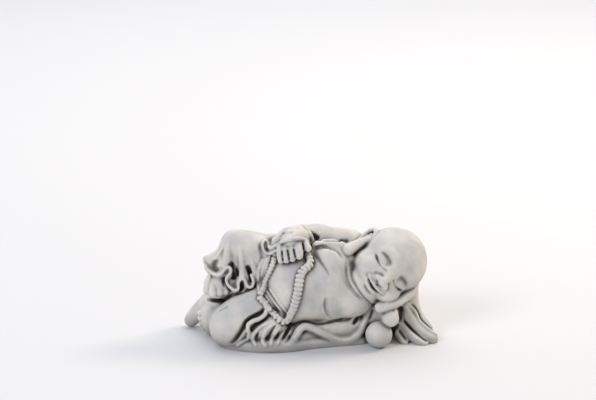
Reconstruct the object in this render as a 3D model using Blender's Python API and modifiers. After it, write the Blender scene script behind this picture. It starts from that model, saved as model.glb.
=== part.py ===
# Reclining garden figure in cast stone: a bald, round-bellied man in a loose robe who lies on his side, with
# his head on one hand, a string of beads in the other and a gourd beside him. It is one solid casting.
# The form is built up in shares, of which the statue's length holds 300, and is drawn from the front, along
# a line of sight that looks down by VIEW_LEAN. X runs along the statue, -Y is its front and Z is up.

import math

import bmesh
import bpy
import numpy as np
from mathutils import Euler, Matrix, Vector
from mathutils.bvhtree import BVHTree

LENGTH = 0.300  # metres, from the robe's trailing end to the left elbow
GRAIN = 1.5  # shares, the width of the skin's faces while it is shaped
MOST_TRIANGLES = 9400

GOURD_RADIUS = 15.7
GOURD_NECK_RADIUS = 10.3
EYE_SPREAD = 16.5
EYE_UP = -2.0

VIEW_LEAN = 18.0  # degrees
FRONT_EDGE = -62.0
FAR = 300.0
THINNEST = 0.2
BIG_BALL = 12.0
HEAD_PLACE = (
    Matrix.Translation((91, -10, 90))
    @ Matrix.Rotation(math.radians(55), 4, "Y")
    @ Matrix.Rotation(math.radians(-8), 4, "X")
)


class View:
    """A direction to draw from. A drawn point is `across` and `up`, and it is looked at along `into`."""

    def __init__(self, across, up, into, through=(0.0, 0.0, 0.0)):
        self.across = np.array(across, float)
        self.up = np.array(up, float)
        self.into = np.array(into, float)
        self.through = np.array(through, float)

    def point(self, across, up):
        return self.through + across * self.across + up * self.up


LEAN_SIN = math.sin(math.radians(VIEW_LEAN))
LEAN_COS = math.cos(math.radians(VIEW_LEAN))
FRONT_VIEW = View((1, 0, 0), (0, 0, 1 / LEAN_COS), (0, LEAN_COS, -LEAN_SIN), (0, FRONT_EDGE, 0))
BACK_VIEW = View((1, 0, 0), (0, 0, 1), (0, -1, 0))
FACE_VIEW = View((1, 0, 0), (0, 0, 1), (0, 1, 0))


def at(across, up, back):
    """The place that lies `back` behind the front edge's line and is drawn at (across, up) from the front."""
    return (across, back, (up - (back - FRONT_EDGE) * LEAN_SIN) / LEAN_COS)


def placed(rows):
    """Rows of across, up, back and radius, as rows of x, y, z and radius."""
    return [(*at(across, up, back), radius) for across, up, back, radius in rows]


def curve_through(knots, steps):
    """Rows along a smooth curve through rows of any width."""
    knots = np.array(knots, float)
    if len(knots) == 2:
        share = np.linspace(0, 1, steps + 1)[:, None]
        return knots[0] * (1 - share) + knots[1] * share
    padded = np.vstack([2 * knots[0] - knots[1], knots, 2 * knots[-1] - knots[-2]])
    t = np.linspace(0, 1, steps, endpoint=False)[:, None]
    rows = []
    for before, start, end, after in zip(padded[:-3], padded[1:-2], padded[2:-1], padded[3:]):
        bend = 2 * before - 5 * start + 4 * end - after
        twist = 3 * start - before - 3 * end + after
        rows.append(start + 0.5 * ((end - before) * t + bend * t**2 + twist * t**3))
    return np.vstack([*rows, knots[-1:]])


def unit_shape(make):
    """Points and triangles of one primitive."""
    shape = bmesh.new()
    make(shape)
    bmesh.ops.triangulate(shape, faces=shape.faces[:])
    points = np.array([vertex.co[:] for vertex in shape.verts])
    triangles = np.array([[vertex.index for vertex in face.verts] for face in shape.faces])
    shape.free()
    return points, triangles


def unit_ball(around, rings):
    return unit_shape(
        lambda shape: bmesh.ops.create_uvsphere(shape, u_segments=around, v_segments=rings, radius=1)
    )


BALL = unit_ball(32, 18)
PEARL = unit_ball(16, 9)
BEAD = (np.sign(PEARL[0]) * abs(PEARL[0]) ** 0.75, PEARL[1])
ROD = unit_shape(
    lambda shape: bmesh.ops.create_cone(shape, cap_ends=True, segments=16, radius1=1, radius2=1, depth=1)
)


class Clay:
    """A lump that shapes are added to. Fusing makes one even skin of it, which can be smoothed and carved."""

    def __init__(self):
        self.added = []
        self.points = None
        self.faces = None

    def add(self, shape, matrix):
        points, triangles = shape
        matrix = np.array(matrix)
        self.added.append((points @ matrix[:3, :3].T + matrix[:3, 3], triangles))

    def ball(self, centre, radii, turn=(0, 0, 0)):
        """A ball, or an egg where there are three radii, turned by three angles."""
        if np.isscalar(radii):
            radii = (radii, radii, radii)
        turned = Euler([math.radians(angle) for angle in turn]).to_matrix().to_4x4()
        self.add(BALL, Matrix.Translation(Vector(centre)) @ turned @ Matrix.Diagonal((*radii, 1)))

    def limb(self, knots, steps=5):
        """A round limb through rows of x, y, z and radius."""
        rows = curve_through(knots, steps)
        rows[:, 3] = rows[:, 3].clip(THINNEST)
        points, triangles = ROD
        for start, end in zip(rows[:-1], rows[1:]):
            run = Vector(end[:3] - start[:3])
            turned = np.array(run.to_track_quat("Z", "Y").to_matrix())
            share = points[:, 2:] + 0.5
            girth = start[3] * (1 - share) + end[3] * share
            local = np.hstack([points[:, :2] * girth, points[:, 2:] * run.length])
            self.added.append((local @ turned.T + (start[:3] + end[:3]) / 2, triangles))
        for row in rows:
            shape = BALL if row[3] > BIG_BALL else PEARL
            self.add(shape, Matrix.Translation(Vector(row[:3])) @ Matrix.Scale(row[3], 4))

    def take(self, other, matrix):
        """Adds the skin of another lump."""
        halves = [other.faces[:, [0, 1, 2]], other.faces[:, [0, 2, 3]]]
        self.add((other.points, np.vstack(halves)), matrix)

    def fuse(self, grain):
        """Joins what was added to the skin, as one closed skin of faces about a grain wide."""
        if self.points is not None:
            self.take(self, Matrix.Identity(4))
        starts = np.cumsum([0] + [len(points) for points, _ in self.added])
        points = np.vstack([points for points, _ in self.added])
        triangles = np.vstack([triangles + start for (_, triangles), start in zip(self.added, starts)])
        self.added = []
        lump = bpy.data.objects.new("lump", mesh_of("lump", points, triangles))
        bpy.context.scene.collection.objects.link(lump)
        remesh = lump.modifiers.new("Remesh", "REMESH")
        remesh.mode = "VOXEL"
        remesh.voxel_size = grain
        graph = bpy.context.evaluated_depsgraph_get()
        skin = bpy.data.meshes.new_from_object(lump.evaluated_get(graph))
        self.points = np.empty((len(skin.vertices), 3))
        skin.vertices.foreach_get("co", self.points.ravel())
        self.faces = np.empty((len(skin.polygons), 4), int)
        skin.polygons.foreach_get("vertices", self.faces.ravel())
        edges = np.empty((len(skin.edges), 2), int)
        skin.edges.foreach_get("vertices", edges.ravel())
        raw = lump.data
        bpy.data.objects.remove(lump)
        bpy.data.meshes.remove(raw)
        bpy.data.meshes.remove(skin)
        self.keep_outside(edges)

    def keep_outside(self, edges):
        """Drops closed hollows inside the lump, so that one skin is left."""
        label = np.arange(len(self.points))
        while True:
            least = np.minimum(label[edges[:, 0]], label[edges[:, 1]])
            before = label.copy()
            np.minimum.at(label, edges[:, 0], least)
            np.minimum.at(label, edges[:, 1], least)
            label = label[label]
            if (label == before).all():
                break
        main = np.bincount(label).argmax()
        kept = label == main
        place = np.cumsum(kept) - 1
        self.points = self.points[kept]
        self.faces = place[self.faces[kept[self.faces[:, 0]]]]
        self.edges = place[edges[kept[edges[:, 0]]]]
        self.degree = np.bincount(self.edges.ravel(), minlength=len(self.points))[:, None]
        self.settle()

    def settle(self):
        """Takes up the slopes of the skin again after its points have moved."""
        corners = self.points[self.faces]
        slopes = np.cross(corners[:, 2] - corners[:, 0], corners[:, 3] - corners[:, 1])
        summed = self.summed(np.repeat(slopes, 4, axis=0), self.faces.ravel())
        self.normals = summed / np.linalg.norm(summed, axis=1, keepdims=True).clip(1e-9)
        self.tree = BVHTree.FromPolygons(self.points.tolist(), self.faces.tolist())

    def summed(self, values, places):
        count = len(self.points)
        return np.stack([np.bincount(places, column, count) for column in values.T], axis=1)

    def neighbours(self):
        """The mean place of each point's neighbours."""
        first, second = self.edges.T
        total = self.summed(self.points[second], first) + self.summed(self.points[first], second)
        return total / self.degree

    def melt(self, reach, grain):
        """Smooths forms that are smaller than about the reach."""
        work = (reach / grain) ** 2
        rounds = max(1, round(work))
        for _ in range(rounds):
            self.points += 0.5 * min(1, work / rounds) * (self.neighbours() - self.points)
        self.settle()

    def near(self, path, width):
        """The points of the skin within a width of the path, how far off they are and how far along it."""
        low = path.min(axis=0) - width
        high = path.max(axis=0) + width
        which = np.flatnonzero(((self.points >= low) & (self.points <= high)).all(axis=1))
        points = self.points[which]
        best = np.full(len(which), np.inf)
        share = np.zeros(len(which))
        pieces = len(path) - 1
        for index in range(pieces):
            run = path[index + 1] - path[index]
            along = np.clip((points - path[index]) @ run / max(run @ run, 1e-9), 0, 1)
            distance = np.linalg.norm(points - path[index] - along[:, None] * run, axis=1)
            closer = distance < best
            best[closer] = distance[closer]
            share[closer] = (index + along[closer]) / pieces
        inside = best < width
        return which[inside], best[inside], share[inside]

    def carve(self, path, width, depth, ends=0.2, into=None):
        """Moves the skin inwards along a path, or outwards for a depth below 0, fading out at both ends."""
        if len(path) < 2:
            return
        which, distance, share = self.near(path, width)
        fade = (1 - (distance / width) ** 2) ** 2
        if ends > 0:
            fade *= np.clip(np.minimum(share, 1 - share) / ends, 0, 1) ** 0.6
        way = -self.normals[which] if into is None else into
        self.points[which] += depth * fade[:, None] * way

    def seen(self, drawn, view=FRONT_VIEW, steps=4):
        """Points and slopes of the skin under a drawn line."""
        found = []
        for across, up in curve_through(drawn, steps):
            start = view.point(across, up) - view.into * FAR
            place, slope, _, _ = self.tree.ray_cast(Vector(start), Vector(view.into))
            if place is not None:
                found.append((*place, *slope))
        return np.array(found).reshape(-1, 6)

    def groove(self, drawn, width, depth, ends=0.2, view=FRONT_VIEW):
        """A groove across the skin, or a ridge for a depth below 0, square to the skin."""
        self.carve(self.seen(drawn, view)[:, :3], width, depth, ends)

    def press(self, drawn, width, depth, ends=0.2, view=FRONT_VIEW):
        """A hollow that is pressed straight in along the line of sight."""
        self.carve(self.seen(drawn, view)[:, :3], width, depth, ends, view.into)

    def cord(self, drawn, radii, lift=0.0, view=FRONT_VIEW, steps=4):
        """A cord on the skin under a drawn line. Its lift is a share of its radius."""
        found = self.seen(drawn, view, steps)
        if len(found) < 2:
            return
        spread = np.linspace(0, 1, len(found))
        girth = np.interp(spread, np.linspace(0, 1, len(radii)), radii)[:, None]
        self.limb(np.hstack([found[:, :3] + found[:, 3:] * lift * girth, girth]), steps=1)


def mesh_of(name, points, faces):
    """A mesh of triangles or of quads."""
    mesh = bpy.data.meshes.new(name)
    mesh.vertices.add(len(points))
    mesh.vertices.foreach_set("co", points.ravel())
    mesh.loops.add(faces.size)
    mesh.loops.foreach_set("vertex_index", faces.ravel())
    mesh.polygons.add(len(faces))
    mesh.polygons.foreach_set("loop_start", np.arange(len(faces)) * faces.shape[1])
    mesh.update(calc_edges=True)
    return mesh


def trunk(clay):
    """Belly, chest, hips and the mass of the robe behind them."""
    clay.ball((-12, -8, 64), (47, 46, 49))
    clay.ball((20, -8, 68), (40, 42, 48))
    clay.ball((-48, 10, 56), (38, 40, 52))
    clay.ball((36, 4, 70), (44, 38, 50))
    clay.ball((5, 22, 58), (88, 38, 58))
    clay.ball((-20, 20, 25), (110, 34, 40))
    clay.ball((60, 20, 25), (66, 34, 42))
    clay.ball((40, 20, 98), (30, 26, 28))
    clay.ball((46, -22, 58), (29, 24, 28), (0, 20, 0))


def neck_and_legs(clay):
    clay.limb([(52, -2, 88, 24), (66, -6, 88, 25), (76, -8, 89, 25)])
    clay.ball((27, -20, 101), (23, 21, 17), (0, 38, 0))
    clay.limb([(-46, 0, 92, 29), (-68, -3, 103, 25.5), (-85.5, -5, 113, 19.7)])
    clay.limb([(-85.5, -3, 111, 19), (-94, -6, 92, 20), (-98, -6, 74, 17)])
    clay.limb([(-66, 0, 90, 24), (-72, -8, 74, 20), (-66, -12, 62, 16)])
    clay.limb([(-40, -14, 56, 24), (-66, -24, 42, 26), (-88, -32, 26, 27), (-92, -32, 22, 26)])
    clay.limb([(-88, -20, 24, 23), (-112, 0, 22, 17)])


def skirt_and_lapel(clay):
    """The robe on the ground: its front wall, the lip that turns up in front of the chest, and the lapel."""
    clay.limb(
        placed(
            [
                (-92, 8, -44, 8), (-62, 7, -53, 9), (-40, 8, -54, 9.5), (-20, 8, -50, 9), (0, 10, -42, 8),
                (30, 11, -34, 7.5), (60, 13, -27, 7),
            ],
        ),
    )
    clay.limb([(-66, -42, 14, 13), (-52, -44, 22, 13), (-40, -43, 30, 12), (-34, -40, 34, 10)])
    clay.limb([(-34, -40, 10, 14), (-28, -36, 14, 13)])
    clay.limb([(-10, -30, 14, 16), (30, -18, 16, 18), (66, -4, 20, 20)])
    clay.limb(
        placed(
            [
                (-22, 5, -52, 4), (-18, 17, -52, 4.5), (-12, 27, -50, 4.5), (-6, 31, -47, 4.5),
                (2, 29, -44, 4.5), (10, 25, -41.5, 4.5), (18, 20.5, -39.5, 4.5), (28, 15.5, -37, 4.5),
                (37, 13, -35.5, 4.5), (47, 14, -33.5, 4.5), (54, 18.5, -31, 4.5), (60, 25, -28.5, 4.5),
                (63.5, 34, -26, 4.5), (66.5, 44, -23, 4.5), (69, 52, -20, 4),
            ],
        ),
    )
    clay.limb(
        placed(
            [
                (-2, 32, -38, 5), (10, 29, -34.5, 5.5), (20, 25, -31.5, 6), (32, 21.5, -29.5, 6),
                (45, 21.5, -26.5, 6), (54, 27, -23.5, 6), (60, 36, -20, 6),
            ],
        ),
    )
    clay.limb(
        placed(
            [
                (-16, 11, -46, 7.5), (-8, 20, -42, 7.5), (0, 19, -38, 7.5), (12, 15, -33.5, 7),
                (30, 12, -29.5, 7), (50, 13, -26, 7), (70, 14, -21, 8),
            ],
        ),
    )
    clay.limb(
        placed(
            [
                (12, 30, -35, 1.5), (24.6, 28.5, -32.5, 2.4), (36, 29.8, -30, 2.8), (44, 33.5, -27.5, 3),
                (50.5, 39, -24.5, 3),
            ],
        ),
    )
    clay.ball((74, -6, 20), (22, 22, 34))
    clay.limb([(-74, -22, 10, 22), (-40, -24, 8, 22), (0, -20, 8, 22), (40, -12, 8, 20)])


def feet_and_tail(clay):
    """The robe's trailing end, the left foot at the ground and the right foot above it."""
    clay.limb([(-108, 14, 46, 13), (-122, 22, 32, 12), (-136, 28, 17, 10.5), (-143, 29, 9, 8.5)])
    clay.ball((-117.5, -2, 24), (13.5, 15, 21))
    clay.ball((-102, 18, 30), (26, 28, 36))
    clay.ball(at(-107, 79, -13), (17.5, 17, 16), (0, 10, 0))
    clay.ball(at(-97, 80, -10), (20, 18, 18))
    clay.limb([(-112, 2, 40, 14), (-126, 18, 32, 9)])


def arms(clay):
    """The right arm with its wide sleeve, and the left forearm that props the head."""
    clay.limb([(46, 12, 112, 18), (28, 10, 117, 16.5), (10, 7, 119, 15.5), (0, 3, 119, 14)])
    clay.limb(
        placed(
            [
                (-7.7, 135.6, 0, 14), (-13.3, 134.9, -10, 14), (-18.3, 132.4, -19, 13.5),
                (-21.9, 129.6, -25, 12.5),
            ],
        ),
    )
    clay.limb(
        placed(
            [
                (3.7, 125, -20, 2.5), (10.8, 126.6, -22, 4.6), (20.8, 126.6, -21, 6), (30, 124.5, -20, 7),
                (38.5, 119.6, -19, 8), (44.9, 109.7, -20, 8),
            ],
        ),
    )
    clay.limb(placed([(-24.7, 136, -6, 11), (-33.2, 131, -14, 9), (-38.9, 128.1, -20, 7)]))
    clay.limb(placed([(-40.3, 131, -4, 8), (-47.4, 132.4, -2, 7), (-50.3, 132.1, 0, 6)]))
    clay.ball(at(-39, 119, -24), (9, 8, 8))
    clay.ball(at(6, 114, -19), (10, 9, 9))
    clay.limb([(70, 14, 40, 26), (100, 6, 24, 24), (126, -6, 12, 13)])
    clay.limb(
        placed(
            [
                (111.3, 52.4, -6, 6), (116.4, 40.8, -10, 7), (126.6, 27.8, -17, 7.5),
                (141.1, 16.9, -24, 7.5), (144.7, 15.4, -24, 6),
            ],
        ),
    )
    clay.limb(
        placed(
            [
                (108.4, 32.1, -14, 6), (117.1, 21.2, -22, 6.5), (128.7, 12.5, -30, 6),
                (134.5, 9.6, -33, 4.5),
            ],
        ),
    )
    clay.limb(placed([(104.1, 22, -20, 5), (109.2, 13.3, -27, 5), (112.1, 9.6, -30, 4)]))
    clay.limb([(134, -6, 8, 12), (121, 2, 26, 12), (116, 8, 46, 13), (116, 10, 66, 13)])
    clay.limb([(110, 18, 60, 20), (106, 16, 40, 22), (112, 14, 16, 22)])


def chest_creases(clay):
    clay.groove([(4.4, 121), (5.6, 116), (10.5, 107.9), (18.1, 96.8), (23, 88.3)], 3.4, 4.2)
    clay.groove([(18.9, 64.5), (18.1, 54.4), (20.6, 45.4), (25.6, 39.1)], 4, 3.2)
    clay.groove([(10.5, 52.4), (15.5, 44.4), (21.6, 40.7)], 3, 0.8)
    clay.groove([(4.4, 121), (14.5, 123.1), (25.6, 121), (33.7, 116), (38.3, 106.5)], 3.4, 3.0)
    clay.groove([(-55.1, 70.6), (-48.9, 60.1), (-41.2, 48.8), (-31.9, 38.3)], 1.8, 1.8)
    clay.groove([(-49.3, 71.6), (-43.2, 62.1), (-35.5, 51.4), (-26.5, 41.3)], 1.8, 1.8)
    clay.groove([(41.8, 106.9), (41.8, 92.8), (44.8, 78.7), (52.9, 68.6), (62.9, 60.5)], 3.2, 2.4)
    clay.groove([(36.7, 98.8), (39.7, 84.7), (46.8, 72.6)], 3, 1.2)


def sleeve_folds(clay):
    """Creases of the right sleeve, above the hand."""
    clay.groove([(9.4, 131.3), (17.2, 130.4), (27.9, 130.3), (38.5, 130), (46.3, 130)], 3, 3.2, ends=0.1)
    clay.groove([(-9.8, 149.5), (-3.4, 144.1), (3, 138.1), (9.4, 133)], 3.5, 2.6, ends=0.1)
    clay.press([(3, 137.4), (5.5, 134.5), (10.8, 132.1)], 5, 6, ends=0.1)
    clay.groove([(-33.9, 138.9), (-26.1, 138.7), (-17.6, 140.4)], 2.6, 2.4)
    clay.groove([(-36.1, 135.6), (-29, 135.4), (-20.4, 137.5)], 2.4, 1.8)
    clay.groove([(-24.7, 143.4), (-18.3, 144.1), (-10.5, 144.1)], 2.4, 1.5)
    clay.press([(-45.6, 128.9), (-45.3, 126.4)], 4.5, 7)
    clay.groove([(-58.1, 128.1), (-57.4, 119.6), (-55.2, 111.1), (-56.6, 104)], 3.5, 2.2)


def knee_folds(clay):
    """Folds that fall from the raised knee."""
    clay.cord([(-93.1, 131.8), (-95.6, 120.4), (-96.3, 109.1), (-98, 101.3)], [1, 4, 5.5, 5], lift=-0.25)
    clay.cord(
        [(-81.4, 125.4), (-79.2, 109.1), (-78.5, 96.3), (-78.5, 87.8)],
        [1, 3.5, 4.5, 4.5],
        lift=-0.2,
    )
    clay.cord([(-67.9, 109.1), (-65, 99.1), (-62.9, 87.8)], [1, 3.5, 4], lift=-0.3)
    clay.cord(
        [(-101.2, 121.9), (-106.2, 113.3), (-112.6, 106.2), (-118.6, 101.6)],
        [1, 2.6, 2.8, 2.2],
        lift=0.2,
    )
    clay.limb(
        placed(
            [
                (-102.7, 114.8, -8, 8), (-109.8, 111.2, -9, 7), (-115.4, 108.4, -11, 6.5),
                (-120.3, 109.6, -13, 4.4),
            ],
        ),
    )
    drape_rim(clay, 4, 4)
    clay.limb(
        placed(
            [
                (-102.7, 109.1, -6, 9), (-108.3, 103.4, -7, 8), (-114, 102, -9, 6.5),
                (-119, 103.4, -11, 4.6),
            ],
        ),
    )


def drape_rim(clay, behind, radius):
    """The wavy edge of the robe over the right leg."""
    rim = [
        (-120.1, 99.6, -14), (-117.8, 96.3, -17), (-112.8, 92.4, -22), (-107.6, 90.4, -26),
        (-102.9, 91.7, -27), (-99.6, 95.7, -27), (-96.3, 98.9, -28), (-93, 99.2, -29), (-91.4, 96.3, -29),
        (-92.4, 92.4, -28.5), (-95.4, 89.1, -28), (-97, 85.1, -28), (-95.9, 80.5, -28.5),
        (-93, 76.6, -29.5), (-89.1, 73.6, -30.5), (-85.4, 72.6, -31), (-83.1, 74.6, -30.5),
        (-83.1, 78.5, -29), (-82.2, 83.2, -28), (-79.1, 86, -28), (-75.9, 85.4, -28.5),
        (-74.3, 81.8, -29.5), (-73, 78.3, -31), (-70.3, 76.1, -32), (-67.3, 76.9, -32),
        (-65.6, 80.1, -31), (-66, 85.1, -29), (-68, 90.4, -27),
    ]
    clay.limb([(*at(across, up, back + behind), radius) for across, up, back in rim], steps=3)


def knee_hollows(clay):
    """The dark pockets between those folds, and the gap over the left leg."""
    clay.press([(-93.1, 104.8), (-89.9, 99.1), (-88.5, 92.7), (-89.9, 84.9)], 5.2, 12, ends=0.3)
    clay.press([(-88.5, 99.8), (-85.3, 93.5), (-84.9, 88.5)], 4.6, 10, ends=0.3)
    clay.press([(-72.8, 102), (-70, 94.9), (-67.9, 87.8), (-68.2, 81.4)], 3.8, 10, ends=0.3)
    clay.press([(-106.9, 109.1), (-109.8, 100.6), (-105.5, 94.9)], 6, 3, ends=0.2)
    clay.press([(-99.8, 88.5), (-97, 79.3), (-92, 70)], 5, 9, ends=0.3)
    clay.press([(-80.6, 82.1), (-79.9, 76.4), (-82.8, 71.4)], 4.5, 8, ends=0.2)
    clay.press([(-122.2, 61.9), (-109.8, 60.4), (-98.4, 61.9), (-89.9, 66.5)], 3.4, 7, ends=0.25)
    clay.press([(-88.5, 67.2), (-77.1, 70), (-65, 77.1), (-60.8, 81.4)], 3.2, 4, ends=0.2)
    clay.groove([(-106.8, 48), (-99.6, 52.1), (-94.3, 54.5)], 2.6, 1.6)


def skirt_hollows(clay):
    """The valleys between the pleats under the belly, and the troughs behind the robe's lip."""
    clay.press(
        [
            (-53.2, 52.2), (-55.5, 47.5), (-61.4, 44), (-68, 40.5), (-73.2, 36.3), (-77, 29.8),
            (-81.8, 22.5), (-87.1, 15.2), (-93, 10.7),
        ],
        4.4,
        6.5,
        ends=0.2,
    )
    clay.press([(-48.1, 41.3), (-53.7, 37.8), (-63.4, 33), (-69.7, 26)], 2.6, 4.2, ends=0.3)
    clay.press([(-51.6, 33), (-59.2, 26), (-61.4, 18.4), (-59.9, 12.8)], 2.2, 3, ends=0.4)
    clay.press([(-39, 33.7), (-44.6, 25.4), (-48.1, 18.4), (-48.8, 14.2)], 2.4, 4, ends=0.35)
    clay.press([(-34.9, 26.7), (-39.8, 19.8), (-41.1, 13.5)], 2, 2.4, ends=0.4)
    clay.press([(-34.2, 33.7), (-24.4, 30.9), (-27.2, 23.9), (-32.8, 14.2)], 3.4, 6, ends=0.25)
    clay.press([(-14.8, 27.3), (-22, 19.3), (-29.2, 11.2)], 3.2, 3.0)
    clay.press(
        [
            (-36.4, 35.9), (-25.6, 33.4), (-16.6, 34.3), (-7.7, 36.8), (1.3, 34.3), (10.3, 33.4),
            (19.3, 34.5), (31.8, 38.1), (46.9, 42.8), (53.3, 45.7),
        ],
        2.4,
        2.8,
        ends=0.05,
    )
    clay.press([(55.7, 44), (53.8, 38.5), (50, 32)], 3.2, 5, ends=0.3)
    clay.press([(68.9, 37.9), (71.5, 44.4), (72.9, 51)], 2.4, 2.5)


def left_sleeve_folds(clay):
    clay.press(
        [(109.2, 51), (110.3, 37.9), (117.9, 27.8), (124.4, 21.6), (132.4, 15.1), (138.2, 11.5)],
        2.6,
        4.2,
        ends=0.12,
    )
    clay.press([(103.4, 26.7), (107.7, 20.5), (113.2, 12.5)], 2.4, 3.4)
    clay.press([(105.5, 54.6), (106.3, 45.9), (104.1, 35)], 6, 8, ends=0.2)
    clay.press([(101.2, 35), (97.6, 23.4), (96.8, 13.3)], 6, 9, ends=0.2)
    clay.groove(
        [(119.3, 56.8), (127.3, 47.3), (130.9, 37.9), (140.3, 28.5), (148.3, 22)],
        2.8,
        2.4,
        ends=0.12,
    )


def back_folds(clay):
    """Broad, plain folds of the robe behind, from the shoulder down to the hip and the ground."""
    clay.groove([(58, 100), (30, 84), (-6, 62), (-30, 30), (-38, 8)], 9, 3.0, view=BACK_VIEW)
    clay.groove([(20, 112), (-8, 96), (-40, 72), (-66, 40), (-74, 12)], 9, 3.2, view=BACK_VIEW)
    clay.groove([(66, 78), (44, 58), (20, 36), (10, 10)], 8, 2.6, view=BACK_VIEW)
    clay.groove([(84, 54), (70, 36), (58, 8)], 7, 2.2, view=BACK_VIEW)
    clay.groove([(-28, 104), (-56, 86), (-84, 62), (-96, 30)], 8, 2.4, view=BACK_VIEW)


def head_masses(head):
    """The skull, the jaw, full cheeks and the bridge of the nose. The face looks to -Y and its top is up."""
    head.ball((0, 3, 8), (39.5, 43, 40))
    head.ball((0, -5, -12), (35.5, 36, 33))
    head.ball((0, -20, -34), (17, 14, 12))
    head.ball((0, -12, -36), (25, 20, 11))
    head.limb([(0, -34, 2, 4.5), (0, -39, -7, 5), (0, -43.5, -15.5, 6.2)])
    for side in (-1, 1):
        head.ball((17 * side, -24, -17), (15, 14, 16))
        head.ball((25 * side, -6, -18), (11.5, 18, 15))
        head.ball((6.8 * side, -41, -17.5), (4.8, 5.5, 4.2))


def mirrored(side, drawn):
    return [(across * side, up) for across, up in drawn]


def sockets_and_brows(head):
    for side in (-1, 1):
        head.groove(mirrored(side, [(8, 1), (16, 3), (25, 0)]), 9, 4.2, ends=0.3, view=FACE_VIEW)
        head.groove(
            mirrored(side, [(5, 9), (12, 13), (22, 12), (29, 6)]),
            5,
            -1.5,
            ends=0.35,
            view=FACE_VIEW,
        )


def lids_and_lips(head):
    """Eyeballs under closed lids, and full lips."""
    for side in (-1, 1):
        place = head.seen([(EYE_SPREAD * side, EYE_UP), (EYE_SPREAD * side, EYE_UP)], FACE_VIEW)[0]
        head.ball((EYE_SPREAD * side, place[1] + 4.6, EYE_UP), (10.2, 7.6, 6.0), (0, 0, 14 * side))
    upper = [(-13, -26.6), (-7, -25.6), (-2.4, -24.9), (0, -25.7), (2.4, -24.9), (7, -25.6), (13, -26.6)]
    lower = [(-11, -29.2), (-6, -31.2), (0, -32), (6, -31.2), (11, -29.2)]
    head.cord(upper, [0.8, 2.3, 2.9, 2.4, 2.9, 2.3, 0.8], lift=0.15, view=FACE_VIEW)
    head.cord(lower, [0.8, 2.9, 3.5, 2.9, 0.8], lift=0.1, view=FACE_VIEW)


def face_lines(head):
    """The calm closed eyes, the wings of the nose and the line of the mouth."""
    for side in (-1, 1):
        lashes = [(6.6, -2.4), (11, -5.9), (16.5, -7.3), (22, -6.2), (27.2, -2.0)]
        lid = [(6.8, 0.6), (11, 4.2), (16.5, 5.6), (22.5, 4.4), (28, -0.4)]
        head.groove(mirrored(side, lashes), 1.9, 2.2, 0.06, FACE_VIEW)
        head.groove(mirrored(side, lid), 1.9, 1.9, 0.1, FACE_VIEW)
        head.groove(
            mirrored(side, [(3.6, -11), (7.2, -12), (12, -15.6), (12, -20)]),
            2.2,
            1.7,
            0.25,
            FACE_VIEW,
        )
        head.groove(mirrored(side, [(3.0, -21), (6.4, -20.8)]), 2.0, 2.6, 0, FACE_VIEW)
        head.groove(mirrored(side, [(12.5, -19), (17, -24), (18.5, -31)]), 3.4, 1.5, 0.35, FACE_VIEW)
        head.groove(mirrored(side, [(13.6, -27.4), (15.4, -26.4)]), 2.6, 2.2, 0, FACE_VIEW)
    mouth = [(-15, -26.8), (-9, -28), (-3.5, -28.1), (0, -28.9), (3.5, -28.1), (9, -28), (15, -26.8)]
    head.groove(mouth, 1.8, 2.8, 0.06, FACE_VIEW)
    head.groove([(0, -21.6), (0, -24.2)], 2.2, 1.2, 0.2, FACE_VIEW)
    head.groove([(-9, -35), (0, -36.4), (9, -35)], 3.4, 2.0, 0.3, FACE_VIEW)
    head.groove(
        [(-19, -40.5), (-10, -43.6), (0, -44.4), (10, -43.6), (19, -40.5)],
        2.6,
        1.2,
        0.35,
        FACE_VIEW,
    )


def ears(head):
    """The rims and the hollows of the ears. The long lobes hang off them."""
    for side, reach in ((-1, 37.8), (1, 40)):
        rim = [
            (0, -5, 9, 2.4), (2.6, 0, 14.5, 2.8), (4.4, 7, 14, 3), (5, 11, 7, 3), (4.4, 9, -2, 3),
            (3, 4, -10, 3.8),
        ]
        inner = [(1.8, 4, 9, 1.5), (2.4, 6, 3, 1.6), (2, 3, -4, 1.6)]
        front = [(0.6, -5, 5, 2.2), (1.6, -6.5, -2, 2.8), (1, -4, -11, 3.8)]
        for line in (rim, inner, front):
            head.limb(
                [(side * (reach + out), 4 + back, up - 3, radius) for out, back, up, radius in line],
                steps=4,
            )
        head.ball(((reach - 1.2) * side, 6, -1), (3.2, 8.6, 12))


def lobes(clay):
    """The long lobe of the upper ear on the shoulder, and the one of the lower ear on the gourd."""
    clay.limb(
        placed(
            [
                (73, 134.4, -6, 3.8), (61.9, 127.9, -13, 4.6), (50.4, 121.9, -20, 5),
                (40.3, 116.8, -26, 5.4),
            ],
        ),
    )
    clay.limb(
        placed(
            [
                (119.3, 72.7, -22, 4.2), (113.5, 67.3, -27, 4.8), (104.8, 62.2, -31, 5.2),
                (95.4, 56.8, -36, 5.4), (86.7, 54.5, -38.5, 5.5), (79.4, 53, -40, 5.5),
            ],
        ),
    )


def head_of(grain):
    head = Clay()
    head_masses(head)
    head.fuse(grain)
    head.melt(4.5, grain)
    sockets_and_brows(head)
    head.settle()
    lids_and_lips(head)
    head.fuse(grain)
    head.melt(0.9, grain)
    face_lines(head)
    head.settle()
    ears(head)
    head.fuse(grain)
    head.melt(0.7, grain)
    return head


def gourd(clay):
    clay.ball((80, -41, 15.3), GOURD_RADIUS)
    clay.ball(at(92.9, 40.1, -42), GOURD_NECK_RADIUS)
    clay.limb(placed([(96.5, 44, -42, 6), (99.6, 48.2, -42, 2.2)]))


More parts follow.
